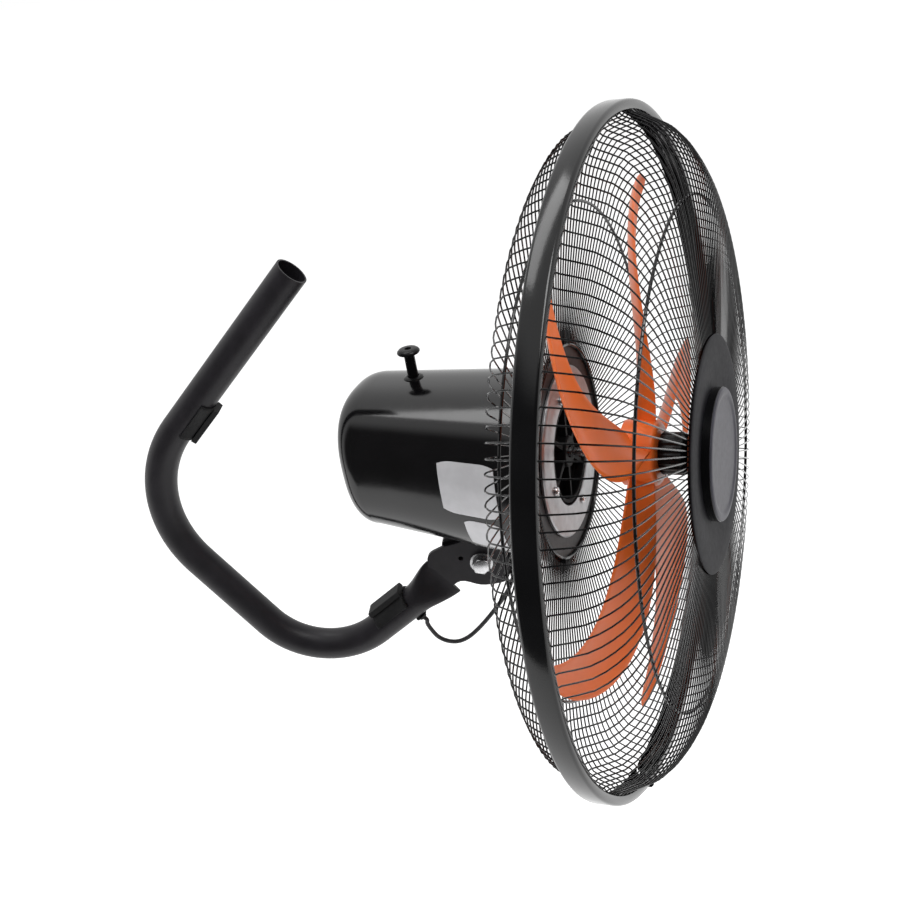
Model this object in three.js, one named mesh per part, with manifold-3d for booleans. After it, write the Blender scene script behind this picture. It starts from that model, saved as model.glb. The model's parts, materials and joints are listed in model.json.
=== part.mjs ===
// Wall mounted fan: an oscillating 20 inch cage fan on a bent tube arm.
// Millimetres, +Z up. The pieces are drawn in the fan's frame: the middle of the guard ring is (0, 0, 0),
// the air leaves towards -Y, and the head turns about a vertical pin at x = 0, y = PIVOT_Y. The last lines
// move everything so that the middle of the arm's open end, which goes into the wall socket, is the origin.

import * as THREE from 'three';
import { mergeVertices } from 'three/addons/utils/BufferGeometryUtils.js';
import Module from 'manifold-3d';

const wasm = await Module();
wasm.setup();

// ---------------------------------------------------------------- driving dimensions
const GAP = 0.3;                     // between pieces that touch

// guard
const GUARD_R = 280;                 // outside of the joining band
const BAND_WIDTH = 18;
const BAND_WALL = 1.2;
const BAND_LIP = 8;                  // how far the band's two lips reach inwards
const WIRE = 2.2;                    // square section that stands for a 2.2 mm round wire
const WIRE_COUNT = 24;               // per guard
const RIM_WIRE = 4;                  // the thick wire round each guard
const HOOP_WIRE = 2.6;               // the thin hoop welded inside each guard
const HOOP_R = 205;
const PLATE_R = 96;                  // round plate on the front guard
const PLATE_THICK = 1.6;
const PLATE_FRONT_Y = -65.5;
const BADGE_R = 53.5;
const BADGE_DEPTH = 8.5;
const REAR_DISC_R = 92;              // steel disc in the middle of the rear guard
const REAR_DISC_BORE = 46.5;
const REAR_DISC_THICK = 1.5;
const REAR_DISC_Y = 60;              // its front face
const CLAMP_R = 72;                  // cast ring that holds that disc to the motor
const CLAMP_BORE = 45;
const CLAMP_DEPTH = 3.5;

// rotor
const SHAFT_R = 4;
const HUB_R = 27;
const HUB_FRONT_Y = -20;
const HUB_DEPTH = 29;
const HUB_WALL = 2.6;
const BLADE_COUNT = 5;
const BLADE_TIP_R = 243;
const BLADE_THICK = 2.6;
// Where the blade's two edges lie at its root, halfway and at its tip: degrees from +X towards +Z, and y.
const LEADING_DEG = [54, 63, 44];
const LEADING_Y = [2, 3, 16];
const TRAILING_DEG = [80, 88, 51];
const TRAILING_Y = [-17, -16, 11];
const SPINNER_R = 17.5;
const SPINNER_DEPTH = 25;
const SPINNER_FLUTES = 18;

// motor
const CORE_R = 47;
const CORE_BORE = 28;
const CORE_FRONT_Y = 100;
const CORE_LENGTH = 50;
const ROTOR_AIR_GAP = 0.6;
const WINDING_LENGTH = 17;
const SHIELD_R = 51;                 // end shields, outside
const SHIELD_WALL = 3;
const SHIELD_REAR_Y = 185;
const BEARING_R = 11;
const BEARING_WIDTH = 7;
const SCREW_R = 2;                   // M4 shanks
const SCREW_HEAD_R = 3.8;
const SCREW_HEAD_DEPTH = 2.4;
const CLAMP_SCREWS = 4;
const CLAMP_SCREW_CIRCLE = 52;        // radius

// motor cover
const COVER_TOP_Z = 65;              // its top runs level
const COVER_REAR_R = 64;             // half height where the rear rounding starts
const COVER_SLOPE = 0.0875;          // how much the half height grows per mm towards the front
const COVER_FRONT_Y = 64;
const COVER_ROUNDING_Y = 225;
const COVER_END_SHARE = 0.7;         // size of the flat end against the full section
const COVER_REAR_Y = 247;
const COVER_WALL = 2.2;
const COVER_SQUARENESS = 2.5;        // 2 is a round section, more is squarer
const LABEL_FRONT_Y = 98;
const SIDE_LABEL_LENGTH = 50;
const LOWER_LABEL_LENGTH = 34;
const COVER_SLOT_R = 25;             // hole in its underside for the neck

// oscillation drive and knob
const PIVOT_Y = 155;                 // vertical pin that the head turns on
const PIN_R = 6;
const KNOB_X = 8;
const KNOB_Y = 191;
const KNOB_STEM_R = 4.6;
const KNOB_CAP_R = 10;
const KNOB_CAP_DEPTH = 5;
const KNOB_LIFT = 22;                // underside of the cap above the cover, pulled up
const KNOB_COLLAR_R = 7.5;
const WHEEL_R = 16;
const WHEEL_TEETH = 30;
const WORM_R = 6;

// neck and arm
const ARM_TURN_DEG = 16;             // the arm's plane, turned from the fan's axis
const ARM_OFFSET = -7.7;             // the tube's middle plane, beside the pivot pin
const TUBE_R = 14.3;                 // 28.6 mm tube
const TUBE_WALL = 1.6;
const EAR_THICK = 4;                 // the tube's end, pressed flat
const TILT_Z = -110;                 // height of the tilt bolt
const BOLT_R = 5;
const BOLT_HEAD_R = 8.5;
const BOLT_HEAD_DEPTH = 6;
const WASHER_R = 10.5;
const WASHER_THICK = 1.6;
const TONGUE_THICK = 12;
const TURRET_R = 21;
const TURRET_TOP_Z = -74;

// cord
const CORD_R = 2;
const GROMMET_R = 6.2;
const GROMMET_HOLE_R = 4.2;

// ---------------------------------------------------------------- small helpers
const RAD = Math.PI / 180;
const v2 = (x, y) => new THREE.Vector2(x, y);
const v3 = (x, y, z) => new THREE.Vector3(x, y, z);

/** Turns a closed geometry into a manifold-3d solid, facing outwards. */
function solid(geometry) {
  const bare = geometry.index ? geometry.clone() : geometry;
  for (const name of ['normal', 'uv']) {
    if (bare.getAttribute(name)) bare.deleteAttribute(name);
  }
  const merged = mergeVertices(bare, 1e-4);
  const points = merged.getAttribute('position').array;
  const faces = [];
  const index = merged.index.array;
  for (let i = 0; i < index.length; i += 3) {
    const [a, b, c] = [index[i], index[i + 1], index[i + 2]];
    if (a !== b && b !== c && c !== a) faces.push(a, b, c);
  }
  let volume = 0;
  for (let i = 0; i < faces.length; i += 3) {
    const [p, q, r] = [0, 1, 2].map((k) => v3().fromArray(points, 3 * faces[i + k]));
    volume += p.dot(q.cross(r));
  }
  if (volume < 0) {
    for (let i = 0; i < faces.length; i += 3) [faces[i], faces[i + 1]] = [faces[i + 1], faces[i]];
  }
  const mesh = new wasm.Mesh({
    numProp: 3, vertProperties: new Float32Array(points), triVerts: new Uint32Array(faces),
  });
  return new wasm.Manifold(mesh);
}

/** Gives a manifold-3d solid back as a three.js geometry. */
function geometryOf(body) {
  const mesh = body.getMesh();
  const geometry = new THREE.BufferGeometry();
  geometry.setAttribute('position', new THREE.BufferAttribute(new Float32Array(mesh.vertProperties), 3));
  geometry.setIndex(new THREE.BufferAttribute(new Uint32Array(mesh.triVerts), 1));
  geometry.computeVertexNormals();
  return geometry;
}

const joined = (...bodies) => bodies.flat().reduce((sum, body) => sum.add(body));
const cut = (body, ...tools) => tools.flat().reduce((left, tool) => left.subtract(tool), body);

/** A solid of revolution about the fan's axis; the profile is a closed list of [radius, y]. */
function turned(profile, segments = 48) {
  const points = profile.map(([r, y]) => v2(r, y));
  if (profile[0][0] > 0 || profile.at(-1)[0] > 0) points.push(points[0].clone());
  return solid(new THREE.LatheGeometry(points, segments));
}

/** A ring about the fan's axis, between two radii and two places along it. */
const ring = (inner, outer, y0, y1, segments) =>
  turned([[inner, y0], [outer, y0], [outer, y1], [inner, y1]], segments);

/** A round bar between two points. */
function bar(from, to, radius, segments = 16) {
  const along = to.clone().sub(from);
  const geometry = new THREE.CylinderGeometry(radius, radius, along.length(), segments);
  const turn = new THREE.Quaternion().setFromUnitVectors(v3(0, 1, 0), along.clone().normalize());
  geometry.applyQuaternion(turn);
  geometry.translate(...from.clone().add(to).multiplyScalar(0.5).toArray());
  return solid(geometry);
}

/** A block between two corners. */
function block(low, high) {
  const geometry = new THREE.BoxGeometry(...low.map((value, i) => high[i] - value));
  geometry.translate(...low.map((value, i) => (value + high[i]) / 2));
  return solid(geometry);
}

/** Turns a body about the fan's axis, from +X towards +Z, by an angle in degrees. */
const aboutAxis = (body, degrees) => body.rotate([0, -degrees, 0]);

/** The triangles that close a flat ring of points. */
function capFaces(ring) {
  const normal = v3();
  ring.forEach((p, i) => normal.add(p.clone().cross(ring[(i + 1) % ring.length])));
  const turn = new THREE.Quaternion().setFromUnitVectors(normal.normalize(), v3(0, 0, 1));
  const flat = ring.map((p) => p.clone().applyQuaternion(turn)).map((p) => v2(p.x, p.y));
  return THREE.ShapeUtils.triangulateShape(flat, []);
}

/** A skin through rings of points, closed by a flat face at each end. */
function lofted(rings) {
  const count = rings[0].length;
  const faces = [];
  for (let k = 0; k + 1 < rings.length; k += 1) {
    for (let i = 0; i < count; i += 1) {
      const j = (i + 1) % count;
      const [a, b, c, d] = [k * count + i, k * count + j, (k + 1) * count + j, (k + 1) * count + i];
      faces.push(a, b, c, a, c, d);
    }
  }
  for (const [a, b, c] of capFaces(rings[0])) faces.push(c, b, a);
  const last = (rings.length - 1) * count;
  for (const [a, b, c] of capFaces(rings.at(-1))) faces.push(last + a, last + b, last + c);
  const geometry = new THREE.BufferGeometry();
  const places = rings.flat().flatMap((p) => [p.x, p.y, p.z]);
  geometry.setAttribute('position', new THREE.Float32BufferAttribute(places, 3));
  geometry.setIndex(faces);
  return solid(geometry);
}

/** A plate with the given [a, b] outline, extruded; holes is a list of such outlines. */
function plate(outline, thickness, holes = []) {
  const shape = new THREE.Shape(outline.map(([a, b]) => v2(a, b)));
  for (const hole of holes) shape.holes.push(new THREE.Path(hole.map(([a, b]) => v2(a, b))));
  return new THREE.ExtrudeGeometry(shape, { depth: thickness, bevelEnabled: false });
}

/** Points on a circle, as an outline. */
function circle(a, b, radius, segments = 16) {
  return Array.from({ length: segments }, (_, i) => {
    const angle = (2 * Math.PI * i) / segments;
    return [a + radius * Math.cos(angle), b + radius * Math.sin(angle)];
  });
}

// ---------------------------------------------------------------- the arm's own frame
// u runs from the pivot pin back along the arm's plane, w sideways, z up.
const ARM_U = v3(-Math.sin(ARM_TURN_DEG * RAD), Math.cos(ARM_TURN_DEG * RAD), 0);
const ARM_W = v3(Math.cos(ARM_TURN_DEG * RAD), Math.sin(ARM_TURN_DEG * RAD), 0);
const PIVOT = v3(0, PIVOT_Y, 0);
const inArm = (u, w, z) => PIVOT.clone().addScaledVector(ARM_U, u).addScaledVector(ARM_W, w).setZ(z);

/** Places a plate drawn in (u, z), whose thickness runs along w from the given place. */
function armPlate(outline, thickness, w, holes) {
  const geometry = plate(outline, thickness, holes);
  const frame = new THREE.Matrix4().makeBasis(ARM_U, v3(0, 0, 1), ARM_W);
  frame.setPosition(inArm(0, w, 0));
  geometry.applyMatrix4(frame);
  return solid(geometry);
}

// ---------------------------------------------------------------- pieces
const pieces = [];
const finishes = {
  gloss_black: { color: 0x101012, roughness: 0.18, metalness: 0.0 },
  satin_black: { color: 0x1b1b1e, roughness: 0.42, metalness: 0.0 },
  arm_paint: { color: 0x2c2a2e, roughness: 0.48, metalness: 0.1 },
  plate_grey: { color: 0x3a3a3f, roughness: 0.35, metalness: 0.2 },
  badge_grey: { color: 0x55555c, roughness: 0.3, metalness: 0.4 },
  orange: { color: 0xd2622c, roughness: 0.35, metalness: 0.0 },
  cast_metal: { color: 0xa9abae, roughness: 0.45, metalness: 0.9 },
  steel: { color: 0xb9bbbe, roughness: 0.3, metalness: 1.0 },
  laminations: { color: 0x5c5f63, roughness: 0.6, metalness: 0.8 },
  copper: { color: 0xa8552a, roughness: 0.4, metalness: 0.9 },
  bronze: { color: 0xa77a3c, roughness: 0.4, metalness: 0.9 },
  nylon: { color: 0xd9d6c8, roughness: 0.5, metalness: 0.0 },
  label: { color: 0xc9c9cc, roughness: 0.5, metalness: 0.1 },
  rubber: { color: 0x141415, roughness: 0.8, metalness: 0.0 },
  cord_grey: { color: 0x4a4a4c, roughness: 0.6, metalness: 0.0 },
};

function add(name, body, finish) {
  const mesh = new THREE.Mesh(geometryOf(body), new THREE.MeshStandardMaterial(finishes[finish]));
  mesh.name = name;
  pieces.push(mesh);
}

// Guards: the wires of each are flat bands bent along a profile of [radius, y], joined at both ends.
const BAND_HALF = BAND_WIDTH / 2;
const CHANNEL_R = GUARD_R - BAND_WALL;            // inside of the band's back
const LIP_R = GUARD_R - BAND_LIP;
const RIM_R = CHANNEL_R - GAP - RIM_WIRE / 2;     // middle of each guard's rim wire
const RIM_Y = GAP + RIM_WIRE / 2;
const RIM_SEGMENTS = 60;
const WIRE_END_R = PLATE_R - 6;
const WIRE_END_Y = PLATE_FRONT_Y + PLATE_THICK + GAP + WIRE / 2;
const SPOKE_END_R = REAR_DISC_R - 4;
const SPOKE_END_Y = REAR_DISC_Y - GAP - WIRE / 2;

const FRONT_PROFILE = [
  [RIM_R, -RIM_Y], [LIP_R - 2, -BAND_HALF + 3], [LIP_R - 4, -BAND_HALF - 3], [GUARD_R - 21, -31],
  [GUARD_R - 44, -46], [HOOP_R, -54], [WIRE_END_R, WIRE_END_Y],
];
const REAR_PROFILE = [
  [RIM_R, RIM_Y], [LIP_R - 2, BAND_HALF - 3], [LIP_R - 4, BAND_HALF + 3], [GUARD_R - 18, 29],
  [GUARD_R - 40, 40], [HOOP_R, 46], [SPOKE_END_R, SPOKE_END_Y],
];

/** Moves a profile sideways by half the wire, to give one edge of the wire's band. */
function offsetProfile(profile, distance) {
  return profile.map((point, i) => {
    const before = profile[Math.max(0, i - 1)];
    const after = profile[Math.min(profile.length - 1, i + 1)];
    const along = v2(after[0] - before[0], after[1] - before[1]).normalize();
    return [point[0] - along.y * distance, point[1] + along.x * distance];
  });
}

/** The place of a guard's wire at a radius, between two points of its profile. */
function profileAt(profile, radius) {
  const k = profile.findIndex(([r], i) => i > 0 && r <= radius);
  const [[r0, y0], [r1, y1]] = [profile[k - 1], profile[k]];
  return y0 + ((y1 - y0) * (r0 - radius)) / (r0 - r1);
}

function wireGuard(profile, innerRadius, innerY) {
  const outline = [...offsetProfile(profile, WIRE / 2), ...offsetProfile(profile, -WIRE / 2).reverse()];
  const band = plate(outline, WIRE);
  band.translate(0, 0, -WIRE / 2);
  const wire = solid(band);
  const wires = Array.from({ length: WIRE_COUNT }, (_, i) => aboutAxis(wire, (360 * i) / WIRE_COUNT));
  const [rimR, rimY] = profile[0];
  const rim = ring(rimR - RIM_WIRE / 2, rimR + RIM_WIRE / 2, rimY - RIM_WIRE / 2, rimY + RIM_WIRE / 2, RIM_SEGMENTS);
  const inner = ring(innerRadius - WIRE, innerRadius + WIRE / 2, innerY - WIRE / 2, innerY + WIRE / 2, 30);
  return joined(rim, inner, wires);
}

/** The hoop that lies on the inside of a guard's wires. */
function hoop(profile, side) {
  const y = profileAt(profile, HOOP_R) - side * (WIRE / 2 + GAP + HOOP_WIRE / 2 + 0.4);
  const half = HOOP_WIRE / 2;
  return ring(HOOP_R - half, HOOP_R + half, y - half, y + half, 42);
}

add('front_guard', wireGuard(FRONT_PROFILE, WIRE_END_R, WIRE_END_Y), 'gloss_black');
add('front_guard_hoop', hoop(FRONT_PROFILE, -1), 'gloss_black');
add('rear_guard', wireGuard(REAR_PROFILE, SPOKE_END_R, SPOKE_END_Y), 'gloss_black');
add('rear_guard_hoop', hoop(REAR_PROFILE, 1), 'gloss_black');

// The band is a channel rolled round both rims, open at one place and drawn together there by a screw.
const BAND_SLIT_DEG = 252;
const LUG_DEPTH = 9;
const LUG_THICK = 2.5;
const LUG_SPACE = 6;
const slitTurn = (body) => aboutAxis(body, BAND_SLIT_DEG);
const channel = turned([
  [GUARD_R, -BAND_HALF], [GUARD_R, BAND_HALF], [LIP_R, BAND_HALF], [LIP_R, BAND_HALF - BAND_WALL],
  [CHANNEL_R, BAND_HALF - BAND_WALL], [CHANNEL_R, -BAND_HALF + BAND_WALL],
  [LIP_R, -BAND_HALF + BAND_WALL], [LIP_R, -BAND_HALF],
], RIM_SEGMENTS);
const LUG_LOW_R = GUARD_R - BAND_WALL / 2;
const LUG_SCREW_R = GUARD_R + LUG_DEPTH / 2;
const lug = (side) => block(
  [LUG_LOW_R, -BAND_HALF + 2, side * LUG_SPACE / 2 - (side < 0 ? LUG_THICK : 0)],
  [GUARD_R + LUG_DEPTH, BAND_HALF - 2, side * LUG_SPACE / 2 + (side > 0 ? LUG_THICK : 0)],
);
const slit = block([LIP_R - 1, -BAND_HALF - 1, -LUG_SPACE / 2], [GUARD_R + 1, BAND_HALF + 1, LUG_SPACE / 2]);
const lugHole = bar(v3(LUG_SCREW_R, 0, -20), v3(LUG_SCREW_R, 0, 20), SCREW_R + GAP);
add('guard_band', slitTurn(cut(joined(channel, lug(-1), lug(1)), slit, lugHole)), 'gloss_black');
const LUG_FACE = LUG_SPACE / 2 + LUG_THICK + GAP;
const bandScrew = joined(
  bar(v3(LUG_SCREW_R, 0, -LUG_FACE - 6), v3(LUG_SCREW_R, 0, LUG_FACE + 0.5), SCREW_R),
  bar(v3(LUG_SCREW_R, 0, LUG_FACE), v3(LUG_SCREW_R, 0, LUG_FACE + SCREW_HEAD_DEPTH), SCREW_HEAD_R),
);
add('band_screw', slitTurn(bandScrew), 'steel');
const bandNut = cut(
  bar(v3(LUG_SCREW_R, 0, -LUG_FACE - 3.2), v3(LUG_SCREW_R, 0, -LUG_FACE), SCREW_HEAD_R, 6),
  bar(v3(LUG_SCREW_R, 0, -LUG_FACE - 9), v3(LUG_SCREW_R, 0, 0), SCREW_R + 0.15),
);
add('band_nut', slitTurn(bandNut), 'steel');

// Front plate and its raised round badge, both plain.
const PLATE_BACK_Y = PLATE_FRONT_Y + PLATE_THICK;
const DISH = 2.6;                    // the plate's middle lies this much behind its edge
const plateProfile = [
  [0, PLATE_FRONT_Y + DISH], [BADGE_R + 4, PLATE_FRONT_Y + DISH], [PLATE_R - 14, PLATE_FRONT_Y],
  [PLATE_R - 2, PLATE_FRONT_Y], [PLATE_R, PLATE_FRONT_Y + PLATE_THICK / 2], [PLATE_R, PLATE_BACK_Y],
  [PLATE_R - 14, PLATE_BACK_Y], [BADGE_R + 4, PLATE_BACK_Y + DISH], [0, PLATE_BACK_Y + DISH],
];
add('front_plate', turned(plateProfile, 44), 'plate_grey');
const BADGE_BACK_Y = PLATE_FRONT_Y + DISH - GAP;
const BADGE_FRONT_Y = BADGE_BACK_Y - BADGE_DEPTH;
const badgeProfile = [
  [0, BADGE_FRONT_Y + 1.2], [BADGE_R - 6, BADGE_FRONT_Y + 1.2], [BADGE_R - 4.5, BADGE_FRONT_Y],
  [BADGE_R - 1.2, BADGE_FRONT_Y], [BADGE_R, BADGE_FRONT_Y + 1.2], [BADGE_R, BADGE_BACK_Y], [0, BADGE_BACK_Y],
];
add('front_badge', turned(badgeProfile, 40), 'badge_grey');

// Rear guard's disc, held between the motor's front shield and a cast ring with four screws.
const DISC_BACK_Y = REAR_DISC_Y + REAR_DISC_THICK;
const CLAMP_BACK_Y = REAR_DISC_Y - GAP;
const CLAMP_FRONT_Y = CLAMP_BACK_Y - CLAMP_DEPTH;
const SHIELD_FRONT_Y = DISC_BACK_Y + GAP;
const screwPlaces = Array.from({ length: CLAMP_SCREWS }, (_, i) => 100 + (360 * i) / CLAMP_SCREWS);
const screwHole = (radius) => bar(v3(CLAMP_SCREW_CIRCLE, CLAMP_FRONT_Y - 5, 0),
  v3(CLAMP_SCREW_CIRCLE, SHIELD_FRONT_Y + 9, 0), radius, 10);
const screwHoles = (radius) => screwPlaces.map((angle) => aboutAxis(screwHole(radius), angle));
const discBody = ring(REAR_DISC_BORE, REAR_DISC_R, REAR_DISC_Y, DISC_BACK_Y, 36);
add('rear_guard_disc', cut(discBody, screwHoles(SCREW_R + GAP)), 'satin_black');
const clampProfile = [
  [CLAMP_BORE, CLAMP_BACK_Y], [CLAMP_BORE, CLAMP_FRONT_Y + 0.6], [CLAMP_BORE + 2, CLAMP_FRONT_Y],
  [CLAMP_R - 4, CLAMP_FRONT_Y], [CLAMP_R, CLAMP_FRONT_Y + 1.5], [CLAMP_R, CLAMP_BACK_Y],
];
add('guard_clamp_ring', cut(turned(clampProfile, 32), screwHoles(SCREW_R + GAP)), 'cast_metal');
screwPlaces.forEach((angle, i) => {
  const r = CLAMP_SCREW_CIRCLE;
  const headBack = CLAMP_FRONT_Y - GAP;
  const screw = joined(
    bar(v3(r, headBack - 0.5, 0), v3(r, SHIELD_FRONT_Y + 8, 0), SCREW_R, 10),
    turnedAt(r, [[0, headBack - SCREW_HEAD_DEPTH], [SCREW_HEAD_R * 0.7, headBack - SCREW_HEAD_DEPTH],
      [SCREW_HEAD_R, headBack - 0.9], [SCREW_HEAD_R, headBack], [0, headBack]]),
  );
  add(`clamp_screw_${i + 1}`, aboutAxis(screw, angle), 'steel');
});

/** A small turned piece whose axis lies beside the fan's axis, along +X. */
function turnedAt(x, profile, segments = 12) {
  return turned(profile, segments).translate([x, 0, 0]);
}

// Motor: two end shields with a stator between them, the rotor core and shaft on two bearings.
const BOSS_R = CLAMP_BORE - 1.5;
const BOSS_FRONT_Y = CLAMP_FRONT_Y + 1;
const CORE_REAR_Y = CORE_FRONT_Y + CORE_LENGTH;
const SHAFT_BORE = SHAFT_R + 1.2;
const FLANGE_R = CLAMP_SCREW_CIRCLE + 7;
const BEARING_SEAT = BEARING_R + GAP;
const FRONT_BEARING_Y = SHIELD_FRONT_Y + 1;
const REAR_BEARING_Y = SHIELD_REAR_Y - SHIELD_WALL - GAP - BEARING_WIDTH;
const frontShield = turned([
  [SHAFT_BORE, BOSS_FRONT_Y], [BOSS_R, BOSS_FRONT_Y], [BOSS_R, SHIELD_FRONT_Y],
  [FLANGE_R, SHIELD_FRONT_Y], [FLANGE_R, SHIELD_FRONT_Y + 9],
  [SHIELD_R, SHIELD_FRONT_Y + 9], [SHIELD_R, CORE_FRONT_Y - GAP], [CORE_R - 4, CORE_FRONT_Y - GAP],
  [CORE_R - 4, SHIELD_FRONT_Y + 11], [BEARING_SEAT + 4, SHIELD_FRONT_Y + 11],
  [BEARING_SEAT, SHIELD_FRONT_Y + 11], [BEARING_SEAT, FRONT_BEARING_Y - GAP], [SHAFT_BORE, FRONT_BEARING_Y - GAP],
], 24);
add('front_end_shield', cut(frontShield, screwHoles(SCREW_R + GAP)), 'satin_black');
const rearShield = turned([
  [SHAFT_BORE, SHIELD_REAR_Y], [SHIELD_R, SHIELD_REAR_Y], [SHIELD_R, CORE_REAR_Y + GAP],
  [CORE_R - 4, CORE_REAR_Y + GAP], [CORE_R - 4, SHIELD_REAR_Y - SHIELD_WALL],
  [BEARING_SEAT + 3, SHIELD_REAR_Y - SHIELD_WALL], [BEARING_SEAT + 3, REAR_BEARING_Y - 1],
  [BEARING_SEAT, REAR_BEARING_Y - 1], [BEARING_SEAT, SHIELD_REAR_Y - SHIELD_WALL],
  [SHAFT_BORE, SHIELD_REAR_Y - SHIELD_WALL],
], 24);
add('rear_end_shield', rearShield, 'cast_metal');
add('stator_core', ring(CORE_BORE, SHIELD_R, CORE_FRONT_Y, CORE_REAR_Y, 24), 'laminations');
const windingRing = (y0, y1) => turned([
  [CORE_BORE + 3, y0 + 3], [CORE_BORE + 6, y0], [CORE_R - 8, y0], [CORE_R - 5, y0 + 3],
  [CORE_R - 5, y1 - 3], [CORE_R - 8, y1], [CORE_BORE + 6, y1], [CORE_BORE + 3, y1 - 3],
], 20);
add('front_winding', windingRing(CORE_FRONT_Y - GAP - WINDING_LENGTH, CORE_FRONT_Y - GAP), 'copper');
add('rear_winding', windingRing(CORE_REAR_Y + GAP, CORE_REAR_Y + GAP + WINDING_LENGTH), 'copper');
const bearing = (y) => ring(SHAFT_R + GAP, BEARING_R, y, y + BEARING_WIDTH, 20);
add('front_bearing', bearing(FRONT_BEARING_Y), 'steel');
add('rear_bearing', bearing(REAR_BEARING_Y), 'steel');

// Rotor: core, shaft with the worm cut on its rear end, one-piece fan blade and the nut that holds it.
const WORM_FRONT_Y = SHIELD_REAR_Y + 8;
const WORM_TURNS = 4;
const WORM_PITCH = 5;
const HUB_REAR_Y = HUB_FRONT_Y + HUB_DEPTH;
const SPINNER_BACK_Y = HUB_FRONT_Y - GAP;
const SPINNER_FRONT_Y = SPINNER_BACK_Y - SPINNER_DEPTH;
const SHAFT_FRONT_Y = SPINNER_FRONT_Y + 8;
const ROTOR_R = CORE_BORE - ROTOR_AIR_GAP;
const wormProfile = [];
for (let i = 0; i < WORM_TURNS; i += 1) {
  const y = WORM_FRONT_Y + i * WORM_PITCH;
  wormProfile.push([SHAFT_R, y + 0.6], [WORM_R, y + 1.6], [WORM_R, y + 2.6], [SHAFT_R, y + 3.6]);
}
const shaft = turned([[0, SHAFT_FRONT_Y], [SHAFT_R, SHAFT_FRONT_Y], ...wormProfile,
  [SHAFT_R, WORM_FRONT_Y + WORM_TURNS * WORM_PITCH + 2], [0, WORM_FRONT_Y + WORM_TURNS * WORM_PITCH + 2]], 14);
add('motor_shaft', shaft, 'steel');
add('rotor_core', ring(SHAFT_R + GAP, ROTOR_R, CORE_FRONT_Y, CORE_REAR_Y, 28), 'laminations');

// The blade: sections across it go from the hub to the tip. The leading edge is at the rear, and the
// trailing edge, at the front, comes after it from +X towards +Z.
const BLADE_STATIONS = [0, 0.15, 0.32, 0.5, 0.68, 0.84, 0.95, 1];
const CHORD_STEPS = 5;
const BLADE_CAMBER = 0.08;
const TIP_ROUND_FROM = 0.93;

/** A smooth value through those at the root, halfway and the tip. */
function along([root, half, tip], s) {
  return root + (4 * half - 3 * root - tip) * s + (2 * root + 2 * tip - 4 * half) * s * s;
}

function bladeSection(s, rootR) {
  const radius = rootR + s * (BLADE_TIP_R - rootR);
  const past = Math.max(0, s - TIP_ROUND_FROM) / (1 - TIP_ROUND_FROM);
  const width = 1 - 0.5 * past * past;
  const middle = (along(LEADING_DEG, s) + along(TRAILING_DEG, s)) / 2;
  const run = (along(TRAILING_DEG, s) - along(LEADING_DEG, s)) * RAD * radius * width;
  const depth = (along(TRAILING_Y, s) - along(LEADING_Y, s)) * width;
  const middleY = (along(TRAILING_Y, s) + along(LEADING_Y, s)) / 2;
  const chord = Math.hypot(run, depth);
  const outline = [];
  for (const side of [1, -1]) {
    for (let i = 0; i < CHORD_STEPS; i += 1) {
      const t = side > 0 ? i / (CHORD_STEPS - 1) : 1 - i / (CHORD_STEPS - 1);
      const edge = Math.min(1, 0.35 + 2.6 * Math.min(t, 1 - t));
      const lift = BLADE_CAMBER * chord * (1 - 4 * (t - 0.5) ** 2) + (side * edge * BLADE_THICK) / 2;
      const angle = middle * RAD + ((t - 0.5) * run - (lift * depth) / chord) / radius;
      const y = middleY + (t - 0.5) * depth + (lift * run) / chord;
      outline.push(v3(radius * Math.cos(angle), y, radius * Math.sin(angle)));
    }
  }
  return outline;
}

const BLADE_ROOT_R = HUB_R - 0.8;
const blade = lofted(BLADE_STATIONS.map((s) => bladeSection(s, BLADE_ROOT_R)));
const hub = turned([
  [SHAFT_R + GAP, HUB_FRONT_Y], [HUB_R - 2, HUB_FRONT_Y], [HUB_R, HUB_FRONT_Y + 2], [HUB_R, HUB_REAR_Y],
  [HUB_R - HUB_WALL, HUB_REAR_Y], [HUB_R - HUB_WALL, HUB_FRONT_Y + 3], [SHAFT_R + 5, HUB_FRONT_Y + 3],
  [SHAFT_R + 5, HUB_REAR_Y + 3], [SHAFT_R + GAP, HUB_REAR_Y + 3],
], 24);
const hubBore = bar(v3(0, HUB_FRONT_Y + 3, 0), v3(0, HUB_REAR_Y + 40, 0), HUB_R - HUB_WALL, 24);
const bladeOutside = cut(blade, hubBore);
const blades = Array.from({ length: BLADE_COUNT },
  (_, i) => aboutAxis(bladeOutside, (360 * i) / BLADE_COUNT));
add('fan_blade', joined(hub, blades), 'orange');

const spinnerShape = new THREE.Shape();
for (let i = 0; i < SPINNER_FLUTES * 2; i += 1) {
  const angle = (Math.PI * i) / SPINNER_FLUTES;
  const r = SPINNER_R - (i % 2) * 1.2;
  if (i === 0) spinnerShape.moveTo(r, 0);
  else spinnerShape.lineTo(r * Math.cos(angle), r * Math.sin(angle));
}
const flutes = new THREE.ExtrudeGeometry(spinnerShape, { depth: SPINNER_DEPTH - 6, bevelEnabled: false });
flutes.rotateX(Math.PI / 2);
flutes.translate(0, SPINNER_BACK_Y, 0);
const spinnerNose = turned([[0, SPINNER_FRONT_Y], [SPINNER_R * 0.5, SPINNER_FRONT_Y],
  [SPINNER_R * 0.84, SPINNER_FRONT_Y + 6], [SPINNER_R * 0.84, SPINNER_FRONT_Y + 7], [0, SPINNER_FRONT_Y + 7]], 36);
const spinnerBore = bar(v3(0, SHAFT_FRONT_Y - 1, 0), v3(0, 0, 0), SHAFT_R + GAP, 20);
add('blade_nut', cut(joined(solid(flutes), spinnerNose), spinnerBore), 'satin_black');

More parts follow.
